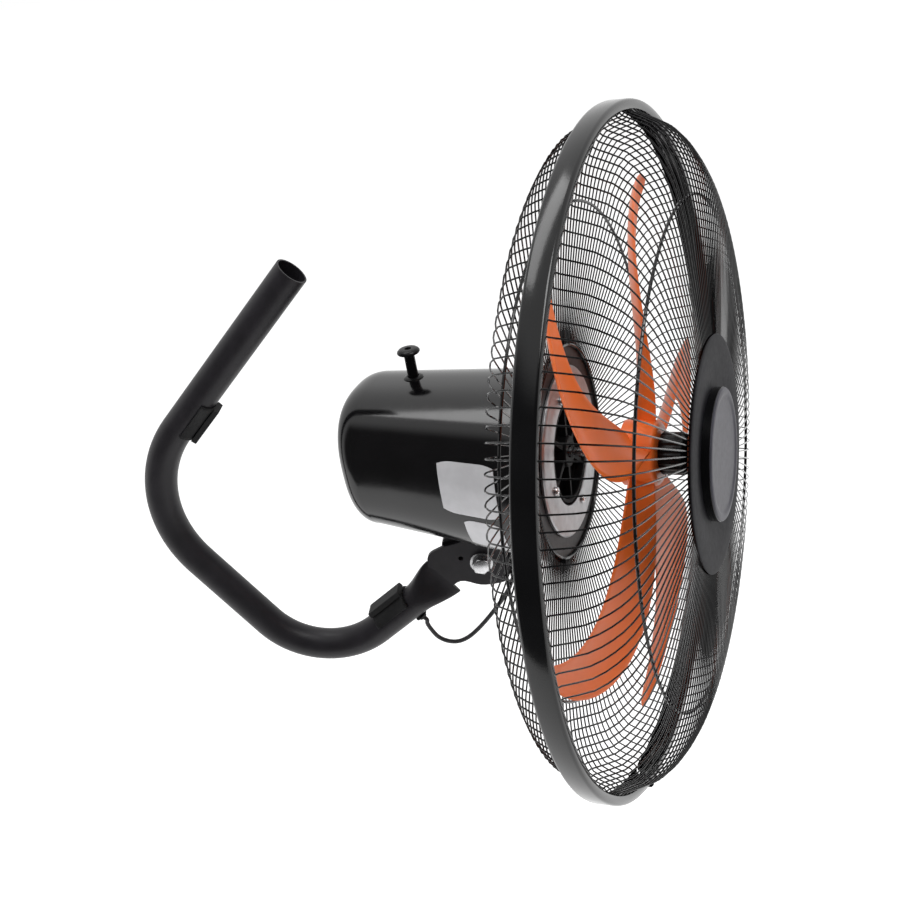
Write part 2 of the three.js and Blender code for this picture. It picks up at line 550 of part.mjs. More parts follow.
// Motor cover: a shell whose top runs level while its underside drops towards the front.
const COVER_STEPS = 24;
function coverRing(y, inset) {
  const past = Math.max(0, y - COVER_ROUNDING_Y) / (COVER_REAR_Y - COVER_ROUNDING_Y);
  const share = COVER_END_SHARE + (1 - COVER_END_SHARE) * Math.sqrt(Math.max(0, 1 - past ** 2.4));
  const full = COVER_REAR_R + (COVER_ROUNDING_Y - Math.min(y, COVER_ROUNDING_Y)) * COVER_SLOPE;
  const radius = full * share - inset;
  const middle = COVER_TOP_Z - full + 0.4 * full * (1 - share);
  return Array.from({ length: COVER_STEPS }, (_, i) => {
    const angle = (2 * Math.PI * (i + 0.5)) / COVER_STEPS;
    const [c, s] = [Math.cos(angle), Math.sin(angle)];
    const power = (value) => Math.sign(value) * Math.abs(value) ** (2 / COVER_SQUARENESS);
    return v3(radius * power(c), y, middle + radius * power(s));
  });
}
const coverPlaces = [COVER_FRONT_Y, COVER_ROUNDING_Y,
  ...[0.4, 0.65, 0.85, 0.96, 1].map((share) => COVER_ROUNDING_Y + share * (COVER_REAR_Y - COVER_ROUNDING_Y))];
const coverOutside = lofted(coverPlaces.map((y) => coverRing(y, 0)));
const coverInside = lofted(coverPlaces.map((y) => coverRing(y, COVER_WALL)))
  .translate([0, -COVER_WALL, 0]);
const neckHole = bar(v3(0, PIVOT_Y, -40), v3(0, PIVOT_Y, -110), COVER_SLOT_R, 28);
const knobHole = bar(v3(KNOB_X, KNOB_Y, 40), v3(KNOB_X, KNOB_Y, 80), KNOB_STEM_R + 0.5, 20);
add('motor_cover', cut(coverOutside, coverInside, neckHole, knobHole), 'gloss_black');

/** A thin sticker that follows the cover, between two places along it, at the given angles round it. */
function sticker(y0, y1, angles) {
  const along = (y, inset) => {
    const section = coverRing(y, inset);
    return angles.map((angle) => {
      const place = (angle / 360) * COVER_STEPS - 0.5;
      const i = Math.floor(place);
      return section[i % COVER_STEPS].clone().lerp(section[(i + 1) % COVER_STEPS], place - i);
    });
  };
  return lofted([y0, y1].map((y) => [...along(y, -GAP), ...along(y, -GAP - 0.4).reverse()]));
}
add('side_label', sticker(LABEL_FRONT_Y, LABEL_FRONT_Y + SIDE_LABEL_LENGTH, [157.5, 172.5, 187.5]), 'label');
add('lower_label', sticker(LABEL_FRONT_Y, LABEL_FRONT_Y + LOWER_LABEL_LENGTH, [190.5, 202.5, 217.5]), 'label');

// Gearbox behind the motor: case, worm wheel, clutch knob, crank, and the pivot housing below the motor.
const CASE_FRONT_Y = SHIELD_REAR_Y + GAP;
const CASE_REAR_Y = 224;
const CASE_HALF = 26;
const CASE_WALL = 2.5;
const WHEEL_Y = WORM_FRONT_Y + WORM_TURNS * WORM_PITCH / 2;
const WHEEL_Z = -(WORM_R + WHEEL_R + 0.8);
const WHEEL_DEPTH = 8;
const CASE_LOW_Z = WHEEL_Z - WHEEL_R - 6;
const CASE_TOP_Z = 40;
const caseOutside = block([-CASE_HALF, CASE_FRONT_Y, CASE_LOW_Z], [CASE_HALF, CASE_REAR_Y, CASE_TOP_Z]);
const caseInside = block([-CASE_HALF + CASE_WALL, CASE_FRONT_Y - 1, CASE_LOW_Z + CASE_WALL],
  [CASE_HALF - CASE_WALL, CASE_REAR_Y - CASE_WALL, CASE_TOP_Z - CASE_WALL]);
const caseKnobHole = bar(v3(KNOB_X, KNOB_Y, CASE_TOP_Z - 10), v3(KNOB_X, KNOB_Y, CASE_TOP_Z + 5),
  KNOB_STEM_R + 0.5, 20);
const axleHole = bar(v3(-CASE_HALF - 5, WHEEL_Y, WHEEL_Z), v3(CASE_HALF + 5, WHEEL_Y, WHEEL_Z), 2 + GAP, 12);
add('gear_case', cut(joined(caseOutside), caseInside, caseKnobHole, axleHole), 'cast_metal');
const toothOutline = [];
for (let i = 0; i < WHEEL_TEETH; i += 1) {
  for (const [share, r] of [[0, WHEEL_R - 1.4], [0.3, WHEEL_R], [0.6, WHEEL_R]]) {
    const angle = (2 * Math.PI * (i + share)) / WHEEL_TEETH;
    toothOutline.push([r * Math.cos(angle), r * Math.sin(angle)]);
  }
}
const wheelPlate = plate(toothOutline, WHEEL_DEPTH, [circle(0, 0, 2 + GAP, 12)]);
wheelPlate.rotateY(Math.PI / 2);
wheelPlate.translate(-WHEEL_DEPTH / 2, WHEEL_Y, WHEEL_Z);
add('worm_wheel', solid(wheelPlate), 'nylon');
add('wheel_axle', bar(v3(-CASE_HALF - 2, WHEEL_Y, WHEEL_Z), v3(CASE_HALF + 2, WHEEL_Y, WHEEL_Z), 2, 12), 'steel');

// The knob is drawn pulled up; pushed down it engages the swing.
const KNOB_CAP_Z = COVER_TOP_Z + KNOB_LIFT;
const knobBase = CASE_TOP_Z - CASE_WALL - 8;
const knobTurned = turned([
  [0, knobBase], [KNOB_STEM_R, knobBase], [KNOB_STEM_R, KNOB_CAP_Z], [KNOB_CAP_R * 0.62, KNOB_CAP_Z],
  [KNOB_CAP_R, KNOB_CAP_Z + KNOB_CAP_DEPTH * 0.45], [KNOB_CAP_R * 0.8, KNOB_CAP_Z + KNOB_CAP_DEPTH],
  [0, KNOB_CAP_Z + KNOB_CAP_DEPTH],
], 28).rotate([90, 0, 0]).translate([KNOB_X, KNOB_Y, 0]);
const knobRecess = block([KNOB_X - 3.2, KNOB_Y - 3.2, KNOB_CAP_Z + KNOB_CAP_DEPTH - 1.6],
  [KNOB_X + 3.2, KNOB_Y + 3.2, KNOB_CAP_Z + KNOB_CAP_DEPTH + 1]);
add('swing_knob', cut(knobTurned, knobRecess), 'satin_black');
const collar = turned([
  [KNOB_STEM_R + 0.5, COVER_TOP_Z + GAP], [KNOB_COLLAR_R, COVER_TOP_Z + GAP],
  [KNOB_COLLAR_R - 1.5, COVER_TOP_Z + 1.6], [KNOB_STEM_R + 0.5, COVER_TOP_Z + 1.6],
], 24).rotate([90, 0, 0]).translate([KNOB_X, KNOB_Y, 0]);
add('knob_collar', collar, 'satin_black');

// Pivot housing: hangs from the stator between the shields and turns on the neck's pin.
const PIVOT_BOSS_R = 15;
const NECK_FLOOR_Z = TURRET_TOP_Z - 40;
const SADDLE_HALF = 24;
const SADDLE_REACH = 30;
const PIVOT_BOSS_LOW_Z = TURRET_TOP_Z + GAP;
const SADDLE_Z = -SHIELD_R - GAP;
const pivotBoss = bar(v3(0, PIVOT_Y, PIVOT_BOSS_LOW_Z), v3(0, PIVOT_Y, SADDLE_Z - 2), PIVOT_BOSS_R, 28);
const saddle = block([-SADDLE_HALF, PIVOT_Y - SADDLE_REACH, -SHIELD_R - 6],
  [SADDLE_HALF, PIVOT_Y + SADDLE_REACH, -SHIELD_R + 14]);
const saddleRoom = bar(v3(0, PIVOT_Y - 60, 0), v3(0, PIVOT_Y + 60, 0), SHIELD_R + GAP, 48);
const pinBore = bar(v3(0, PIVOT_Y, NECK_FLOOR_Z), v3(0, PIVOT_Y, -SHIELD_R - 3), PIN_R + GAP, 24);
add('pivot_housing', cut(joined(pivotBoss, saddle), saddleRoom, pinBore), 'cast_metal');

const CAPACITOR = [22, 17, 34];
const capacitorLow = [CASE_HALF + GAP, CASE_FRONT_Y + 3, 2];
add('run_capacitor', block(capacitorLow, capacitorLow.map((low, i) => low + CAPACITOR[i])), 'satin_black');

// Neck: a turret with the pin, and a tongue that the tilt bolt holds against the arm's ear.
const EAR_W = ARM_OFFSET - EAR_THICK / 2;                 // near face of the ear
const TONGUE_W = ARM_OFFSET + EAR_THICK / 2 + GAP;
const NECK_TOP_Z = TURRET_TOP_Z - 6;
const NECK_LOW_Z = -126;
const neckOutline = [
  [-TURRET_R, NECK_TOP_Z], [TURRET_R + 2, NECK_TOP_Z], [TURRET_R + 14, NECK_TOP_Z - 8], [30, -104],
  [20, -118], [8, NECK_LOW_Z], [-32, NECK_LOW_Z], [-35, -122], [-34, -100],
];
const tongue = armPlate(neckOutline, TONGUE_THICK, TONGUE_W, [circle(0, TILT_Z, BOLT_R + GAP, 20)]);
const turret = bar(inArm(0, 0, TURRET_TOP_Z), inArm(0, 0, NECK_TOP_Z - 1), TURRET_R, 32);
const tiltHole = bar(inArm(0, -40, TILT_Z), inArm(0, 40, TILT_Z), BOLT_R + GAP, 20);
const pin = bar(inArm(0, 0, NECK_TOP_Z), inArm(0, 0, -SHIELD_R - 5), PIN_R, 24);
const GLAND_U = -24;
const GLAND_W = TONGUE_W + TONGUE_THICK / 2;
const GLAND_TOP_Z = NECK_LOW_Z + 7;
const glandHole = bar(inArm(GLAND_U, GLAND_W, GLAND_TOP_Z), inArm(GLAND_U, GLAND_W, -140), GROMMET_HOLE_R + GAP, 16);
add('tilt_neck', cut(joined(turret, tongue, pin), tiltHole, glandHole), 'satin_black');

/** A rubber sleeve with a flange, on the line from a point along a direction. */
function sleeve(from, along, depthIn, flangeOut) {
  const body = turned([
    [CORD_R + GAP, -depthIn], [GROMMET_HOLE_R, -depthIn], [GROMMET_HOLE_R, GAP], [GROMMET_R, GAP],
    [GROMMET_R - 0.8, flangeOut * 0.6], [GROMMET_HOLE_R - 0.6, flangeOut], [CORD_R + GAP, flangeOut],
  ], 20);
  const turn = new THREE.Quaternion().setFromUnitVectors(v3(0, 1, 0), along);
  const matrix = new THREE.Matrix4().makeRotationFromQuaternion(turn).setPosition(from);
  return body.transform(matrix.elements);
}

// Arm: one tube through two bends, open at the wall end and pressed flat at the neck end.
const ARM_END = [108.4, 182];
const ARM_UPPER_CORNER = [303.6, -4.6];
const ARM_LOWER_CORNER = [168.3, -212.8];
const ARM_ROUND_TO = [66, -143];           // where the tube starts to flatten
const ARM_FLAT_FROM = [37, -122];
const UPPER_BEND_R = 105;
const LOWER_BEND_R = 72;

/** The points of an arc of the given radius that rounds a corner. */
function bend(before, corner, after, radius, steps) {
  const a = v2(...before).sub(v2(...corner)).normalize();
  const b = v2(...after).sub(v2(...corner)).normalize();
  const half = Math.acos(a.dot(b)) / 2;
  const middle = v2(...corner).add(a.clone().add(b).normalize().multiplyScalar(radius / Math.sin(half)));
  const first = v2(...corner).add(a.clone().multiplyScalar(radius / Math.tan(half)));
  const last = v2(...corner).add(b.clone().multiplyScalar(radius / Math.tan(half)));
  const from = Math.atan2(first.y - middle.y, first.x - middle.x);
  let sweep = Math.atan2(last.y - middle.y, last.x - middle.x) - from;
  if (sweep > Math.PI) sweep -= 2 * Math.PI;
  if (sweep < -Math.PI) sweep += 2 * Math.PI;
  return Array.from({ length: steps + 1 }, (_, i) => {
    const angle = from + (sweep * i) / steps;
    return [middle.x + radius * Math.cos(angle), middle.y + radius * Math.sin(angle)];
  });
}

const armPath = [
  ARM_END,
  ...bend(ARM_END, ARM_UPPER_CORNER, ARM_LOWER_CORNER, UPPER_BEND_R, 7),
  ...bend(ARM_UPPER_CORNER, ARM_LOWER_CORNER, ARM_ROUND_TO, LOWER_BEND_R, 8),
  ARM_ROUND_TO,
];

/** One section of the tube: half height in the arm's plane, half width across it. */
function tubeRing(path, i, halfHeight, halfWidth, segments = 16) {
  const before = v2(...path[Math.max(0, i - 1)]);
  const after = v2(...path[Math.min(path.length - 1, i + 1)]);
  const along = after.sub(before).normalize();
  return Array.from({ length: segments }, (_, k) => {
    const angle = (2 * Math.PI * k) / segments;
    const a = halfHeight * Math.cos(angle);
    return inArm(path[i][0] - along.y * a, ARM_OFFSET + halfWidth * Math.sin(angle), path[i][1] + along.x * a);
  });
}

const EAR_HALF = (Math.PI * TUBE_R) / 2;         // the round tube's half girth, pressed flat
const tubeOutside = lofted([
  ...armPath.map((_, i) => tubeRing(armPath, i, TUBE_R, TUBE_R)),
  tubeRing([ARM_ROUND_TO, [51.5, -133], ARM_FLAT_FROM], 1, (TUBE_R + EAR_HALF) / 2 - 0.5, TUBE_R * 0.62),
  tubeRing([ARM_ROUND_TO, ARM_FLAT_FROM], 1, EAR_HALF - 1, EAR_THICK / 2 - 0.02),
]);
const boreR = TUBE_R - TUBE_WALL;
const endAlong = v2(...ARM_END).sub(v2(...ARM_UPPER_CORNER)).normalize();
const beyond = [ARM_END[0] + endAlong.x * 5, ARM_END[1] + endAlong.y * 5];
const borePath = [beyond, ...armPath.slice(1, -1), ARM_ROUND_TO];
const tubeBore = lofted(borePath.map((_, i) => tubeRing(borePath, i, boreR, boreR)));
const earOutline = [
  [48, -101], [36, -92], [8, -86], [-12, -88], [-20, -93], [-24, -104], [-24, -120], [-20, -131],
  [-12, -134], [4, -134], [22, -128], [38, -137], [47, -131],
];
const earSlot = [[16.5, -109], [19.5, -109], [19.5, -99], [16.5, -99]];
const ear = armPlate(earOutline, EAR_THICK, EAR_W, [circle(0, TILT_Z, BOLT_R + GAP, 20), earSlot]);
const slope = v2(ARM_FLAT_FROM[0] - ARM_ROUND_TO[0], ARM_FLAT_FROM[1] - ARM_ROUND_TO[1]).normalize();
const outward = inArm(0, 0, 0).clone().set(0, 0, 0).addScaledVector(ARM_U, slope.y).setZ(-slope.x);
if (outward.z > 0) outward.negate();
const EXIT_CENTRE = [74, -148.8];
const exitAxis = inArm(EXIT_CENTRE[0], ARM_OFFSET, EXIT_CENTRE[1]);
const exitHole = bar(exitAxis, exitAxis.clone().addScaledVector(outward, TUBE_R + 6), GROMMET_HOLE_R + GAP, 16);
add('arm_tube', cut(joined(tubeOutside, ear), tubeBore, exitHole), 'arm_paint');
const exitFace = exitAxis.clone().addScaledVector(outward, TUBE_R + 0.5);
add('arm_grommet', sleeve(exitFace, outward, 2.4, 4), 'rubber');
const GLAND_OUT = 6;
const glandFace = inArm(GLAND_U, GLAND_W, NECK_LOW_Z - GAP);
add('neck_gland', sleeve(glandFace, v3(0, 0, -1), 4, GLAND_OUT), 'rubber');

// Tilt bolt, its washer and nut.
const EAR_FACE = EAR_W - GAP;
const TONGUE_FACE = TONGUE_W + TONGUE_THICK + GAP;
const boltPiece = joined(
  bar(inArm(0, EAR_FACE - WASHER_THICK - GAP - 0.5, TILT_Z), inArm(0, TONGUE_FACE + 14, TILT_Z), BOLT_R, 20),
  bar(inArm(0, EAR_FACE - WASHER_THICK - GAP - BOLT_HEAD_DEPTH, TILT_Z),
    inArm(0, EAR_FACE - WASHER_THICK - GAP, TILT_Z), BOLT_HEAD_R, 6),
);
add('tilt_bolt', boltPiece, 'steel');
const drilled = (w0, w1, radius, segments) => cut(
  bar(inArm(0, w0, TILT_Z), inArm(0, w1, TILT_Z), radius, segments),
  bar(inArm(0, w0 - 2, TILT_Z), inArm(0, w1 + 2, TILT_Z), BOLT_R + GAP, 20),
);
add('bolt_washer', drilled(EAR_FACE - WASHER_THICK, EAR_FACE, WASHER_R, 28), 'steel');
add('tilt_nut', drilled(TONGUE_FACE, TONGUE_FACE + 9, BOLT_HEAD_R + 1, 6), 'steel');

// Two rubber cord clips snapped on the inner side of the arm.
function armClip(centre, along) {
  const side = v2(-along.y, along.x);
  const at = (a, n) => [centre[0] + along.x * a + side.x * n, centre[1] + along.y * a + side.y * n];
  const CLIP_HALF = 19;
  const clipRing = (a, radius) => Array.from({ length: 24 }, (_, k) => {
    const angle = (2 * Math.PI * k) / 24;
    const [u, z] = at(a, radius * Math.cos(angle));
    return inArm(u, ARM_OFFSET + radius * Math.sin(angle), z);
  });
  const outer = lofted([clipRing(-CLIP_HALF, TUBE_R + 2.6), clipRing(CLIP_HALF, TUBE_R + 2.6)]);
  const inner = lofted([clipRing(-CLIP_HALF - 5, TUBE_R + GAP), clipRing(CLIP_HALF + 5, TUBE_R + GAP)]);
  const sole = lofted([-1, 1].map((end) => [[13, -9], [20, -9], [20, 9], [13, 9]].map(([n, w]) => {
    const [u, z] = at(end * CLIP_HALF, n);
    return inArm(u, ARM_OFFSET + w, z);
  })));
  const away = lofted([-1, 1].map((end) => [[-40, -40], [4, -40], [4, 40], [-40, 40]].map(([n, w]) => {
    const [u, z] = at(end * (CLIP_HALF + 8), n);
    return inArm(u, ARM_OFFSET + w, z);
  })));
  return cut(joined(outer, sole), inner, away);
}
const upperAlong = v2(...ARM_END).sub(v2(...ARM_UPPER_CORNER)).normalize();
const tangentA = UPPER_BEND_R / Math.tan(Math.acos(upperAlong.dot(
  v2(...ARM_LOWER_CORNER).sub(v2(...ARM_UPPER_CORNER)).normalize())) / 2);
const clipA = v2(...ARM_UPPER_CORNER).add(upperAlong.clone().multiplyScalar(tangentA + 21));
add('upper_arm_clip', armClip([clipA.x, clipA.y], upperAlong), 'rubber');
const lowerAlong = v2(...ARM_ROUND_TO).sub(v2(...ARM_LOWER_CORNER)).normalize();
const clipB = v2(...ARM_ROUND_TO).sub(lowerAlong.clone().multiplyScalar(23));
add('lower_arm_clip', armClip([clipB.x, clipB.y], lowerAlong.clone().negate()), 'rubber');

// The mains cord hangs in a loop from the arm's grommet to the neck. Points are [u, w, z].
const cordFrom = exitFace.clone().addScaledVector(outward, 4 + GAP);
const cordTo = inArm(GLAND_U, GLAND_W, NECK_LOW_Z - GLAND_OUT - 2 * GAP);
const CORD_POINTS = [
  [61, -7.6, -171], [58, -7.2, -180], [53, -6.4, -189], [45, -5.4, -195], [36, -4.2, -197],
  [27, -3, -194.5], [18, -1.8, -188.5], [8, -0.6, -179.5], [-2, 0.4, -169], [-11, 1.1, -158.5],
  [-18.5, 1.6, -148], [-22.8, 1.8, -139],
];
const cordPath = new THREE.CatmullRomCurve3([
  cordFrom, cordFrom.clone().addScaledVector(outward, 4), ...CORD_POINTS.map((p) => inArm(...p)),
  cordTo.clone().add(v3(0, 0, -4)), cordTo,
], false, 'centripetal');
const cordSection = new THREE.Shape(circle(0, 0, CORD_R, 8).map(([a, b]) => v2(a, b)));
const cordTube = new THREE.ExtrudeGeometry(cordSection, { steps: 22, bevelEnabled: false, extrudePath: cordPath });
add('cord_loop', solid(cordTube), 'cord_grey');

// ---------------------------------------------------------------- the part
const fan = new THREE.Group();
const placed = new THREE.Group();
placed.add(...pieces);
placed.position.copy(inArm(ARM_END[0], ARM_OFFSET, ARM_END[1]).negate());
fan.add(placed);

export default fan;
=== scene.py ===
"""The looks of a wall mounted oscillating fan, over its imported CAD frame.

Places are written in the fan's own frame, in millimetres: the middle of the guard ring is (0, 0, 0), the air
leaves towards -Y and +Z is up. at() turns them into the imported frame, in metres.
"""

import json
import math

import bmesh
import bpy
from mathutils import Matrix, Vector

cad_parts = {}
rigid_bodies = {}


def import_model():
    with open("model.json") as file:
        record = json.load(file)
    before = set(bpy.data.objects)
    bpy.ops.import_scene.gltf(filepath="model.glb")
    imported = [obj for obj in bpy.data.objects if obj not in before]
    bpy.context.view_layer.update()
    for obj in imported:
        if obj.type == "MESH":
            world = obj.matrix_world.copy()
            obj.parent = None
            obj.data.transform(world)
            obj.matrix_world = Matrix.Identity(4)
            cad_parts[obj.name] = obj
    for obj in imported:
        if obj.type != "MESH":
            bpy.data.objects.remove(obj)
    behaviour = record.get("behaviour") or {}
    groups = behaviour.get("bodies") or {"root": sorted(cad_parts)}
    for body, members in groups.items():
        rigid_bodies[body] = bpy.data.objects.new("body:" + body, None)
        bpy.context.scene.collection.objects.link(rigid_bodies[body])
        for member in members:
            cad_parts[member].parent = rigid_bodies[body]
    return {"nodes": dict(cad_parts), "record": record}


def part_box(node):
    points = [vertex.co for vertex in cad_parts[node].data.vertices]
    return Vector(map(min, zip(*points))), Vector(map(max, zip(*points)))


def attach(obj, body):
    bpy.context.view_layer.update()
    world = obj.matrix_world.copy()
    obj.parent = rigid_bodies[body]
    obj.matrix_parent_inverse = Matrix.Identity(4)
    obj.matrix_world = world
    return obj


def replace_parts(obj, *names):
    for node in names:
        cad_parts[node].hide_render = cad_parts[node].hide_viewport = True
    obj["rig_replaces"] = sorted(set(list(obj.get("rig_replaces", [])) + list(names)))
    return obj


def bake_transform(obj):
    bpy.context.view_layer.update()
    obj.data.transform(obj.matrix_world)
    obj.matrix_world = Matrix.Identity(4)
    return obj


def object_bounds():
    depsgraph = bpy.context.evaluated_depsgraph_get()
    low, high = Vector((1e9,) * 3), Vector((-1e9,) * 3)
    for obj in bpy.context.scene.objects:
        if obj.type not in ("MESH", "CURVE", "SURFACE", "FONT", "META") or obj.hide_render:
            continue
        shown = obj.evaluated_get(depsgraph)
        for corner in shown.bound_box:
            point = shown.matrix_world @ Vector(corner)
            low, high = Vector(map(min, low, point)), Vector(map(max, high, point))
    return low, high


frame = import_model()
CAD_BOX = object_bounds()

MM = 0.001
JOINTS = {joint["name"]: joint for joint in frame["record"]["behaviour"]["joints"]}
RING = Vector(JOINTS["rotor_spin"]["pos_m"])          # middle of the guard ring
PIVOT = Vector(JOINTS["head_swing"]["pos_m"])         # vertical pin under the motor
ACROSS = Vector(JOINTS["head_tilt"]["axis"])          # across the arm's plane, along the bolt
BACK = Vector((0, 0, 1)).cross(ACROSS)                # along the arm's plane, towards the wall
UP = Vector((0, 0, 1))


def at(x, y, z):
    return RING + Vector((x, y, z)) * MM


def in_arm(u, w, z):
    """A point of the arm: u back from the pivot, w across the arm's plane, z up from the ring's middle."""
    return Vector((PIVOT.x, PIVOT.y, RING.z)) + (BACK * u + ACROSS * w + UP * z) * MM


# ---------------------------------------------------------------- camera
LENS_MM = 52.0
EYE = (-907.76, -271.22, 503.95)       # the photo's camera as solved, in the fan's own frame
CAMERA_RIGHT = (0.34901731, -0.92138057, -0.17101102)
CAMERA_UP = (0.47925484, 0.01867849, 0.87747702)
CAMERA_BACK = (-0.80529604, -0.38821253, 0.44809521)

camera = bpy.data.objects.new("camera", bpy.data.cameras.new("camera"))
camera.data.lens = LENS_MM
camera.data.sensor_width = 36
camera_axes = Matrix((CAMERA_RIGHT, CAMERA_UP, CAMERA_BACK)).transposed()
camera.matrix_world = Matrix.Translation(at(*EYE)) @ camera_axes.to_4x4()
camera.data.clip_end = 50
bpy.context.scene.collection.objects.link(camera)
bpy.context.scene.camera = camera


# ---------------------------------------------------------------- materials
def nodes_of(name, color, roughness, metallic=0.0):
    """A new material with its node tree and shader."""
    made = bpy.data.materials.new(name)
    made.use_nodes = True
    shader = made.node_tree.nodes["Principled BSDF"]
    shader.inputs["Base Color"].default_value = (*color, 1)
    shader.inputs["Roughness"].default_value = roughness
    shader.inputs["Metallic"].default_value = metallic
    return made, made.node_tree, shader


def noise(tree, scale, detail=4.0, stretch=(1, 1, 1)):
    """A noise on the piece's own coordinates; scale counts features per metre."""
    place = tree.nodes.new("ShaderNodeTexCoord")
    mapping = tree.nodes.new("ShaderNodeMapping")
    mapping.inputs["Scale"].default_value = stretch
    texture = tree.nodes.new("ShaderNodeTexNoise")
    texture.inputs["Scale"].default_value = scale
    texture.inputs["Detail"].default_value = detail
    tree.links.new(place.outputs["Object"], mapping.inputs["Vector"])
    tree.links.new(mapping.outputs["Vector"], texture.inputs["Vector"])
    return texture.outputs["Fac"]


def ranged(tree, value, low, high):
    """A value of 0 to 1 carried over to low to high."""
    span = tree.nodes.new("ShaderNodeMapRange")
    span.inputs["To Min"].default_value = low
    span.inputs["To Max"].default_value = high
    tree.links.new(value, span.inputs["Value"])
    return span.outputs["Result"]


def vary_color(tree, shader, pattern, dark, light):
    ramp = tree.nodes.new("ShaderNodeValToRGB")
    ramp.color_ramp.elements[0].position = 0.3
    ramp.color_ramp.elements[1].position = 0.7
    ramp.color_ramp.elements[0].color = (*dark, 1)
    ramp.color_ramp.elements[1].color = (*light, 1)
    tree.links.new(pattern, ramp.inputs["Fac"])
    tree.links.new(ramp.outputs["Color"], shader.inputs["Base Color"])


def vary_roughness(tree, shader, pattern, low, high):
    tree.links.new(ranged(tree, pattern, low, high), shader.inputs["Roughness"])


def add_bump(tree, shader, pattern, height_mm, strength=1.0):
    bump = tree.nodes.new("ShaderNodeBump")
    bump.inputs["Strength"].default_value = strength
    bump.inputs["Distance"].default_value = height_mm * MM
    tree.links.new(pattern, bump.inputs["Height"])
    tree.links.new(bump.outputs["Normal"], shader.inputs["Normal"])


def scaled(color, factor):
    return tuple(min(1.0, value * factor) for value in color)


def finish_enamel(name, color, roughness, gloss, ripple_mm=0.02):
    """Baked or moulded gloss: a faint orange peel and soft dust that dulls it in places."""
    made, tree, shader = nodes_of(name, color, roughness)
    shader.inputs["Specular IOR Level"].default_value = gloss
    vary_color(tree, shader, noise(tree, 35), scaled(color, 0.8), scaled(color, 1.3))
    vary_roughness(tree, shader, noise(tree, 60, 6), roughness * 0.75, roughness * 1.4)
    add_bump(tree, shader, noise(tree, 500, 2), ripple_mm)
    return made


def finish_powder(name, color, roughness, gloss, grain=1400, height_mm=0.05):
    """Powder coat: a fine, even grain."""
    made, tree, shader = nodes_of(name, color, roughness)
    shader.inputs["Specular IOR Level"].default_value = gloss
    vary_color(tree, shader, noise(tree, 60, 8), scaled(color, 0.8), scaled(color, 1.25))
    vary_roughness(tree, shader, noise(tree, 220, 5), roughness * 0.85, roughness * 1.15)
    add_bump(tree, shader, noise(tree, grain, 3), height_mm, 0.6)
    return made


def finish_metal(name, color, roughness, stretch=(1, 1, 1), grain=900, height_mm=0.02):
    """Bare or plated metal with fine working marks."""
    made, tree, shader = nodes_of(name, color, roughness, metallic=1.0)
    vary_color(tree, shader, noise(tree, 90, 6), scaled(color, 0.82), scaled(color, 1.1))
    vary_roughness(tree, shader, noise(tree, 400, 4, stretch), roughness * 0.7, roughness * 1.35)
    add_bump(tree, shader, noise(tree, grain, 3, stretch), height_mm, 0.5)
    return made


def finish_moulding(name, color, roughness, depth=0.08):
    """Coloured moulded plastic with slow flow marks and a little light under its skin."""
    made, tree, shader = nodes_of(name, color, roughness)
    shader.inputs["Specular IOR Level"].default_value = 0.3
    shader.inputs["Subsurface Weight"].default_value = depth
    shader.inputs["Subsurface Radius"].default_value = (0.004, 0.0015, 0.0006)
    vary_color(tree, shader, noise(tree, 14, 3, (1, 2.5, 1)), scaled(color, 0.9), scaled(color, 1.08))
    vary_roughness(tree, shader, noise(tree, 70, 5), roughness * 0.85, roughness * 1.2)
    add_bump(tree, shader, noise(tree, 240, 3), 0.02, 0.6)
    return made


def finish_rubber(name, color, roughness=0.7):
    """Rubber or cable sheath: dull, with a fine grain."""
    made, tree, shader = nodes_of(name, color, roughness)
    shader.inputs["Specular IOR Level"].default_value = 0.35
    vary_color(tree, shader, noise(tree, 150, 6), scaled(color, 0.75), scaled(color, 1.5))
    add_bump(tree, shader, noise(tree, 1100, 4), 0.06, 0.7)
    return made


def finish_sticker(name, color):
    """A silver sticker with nothing printed on it, slightly uneven where it is stuck down."""
    made, tree, shader = nodes_of(name, color, 0.38, metallic=0.25)
    vary_color(tree, shader, noise(tree, 50, 4), scaled(color, 0.88), scaled(color, 1.08))
    vary_roughness(tree, shader, noise(tree, 130, 4), 0.3, 0.5)
    add_bump(tree, shader, noise(tree, 160, 2), 0.05, 0.5)
    return made


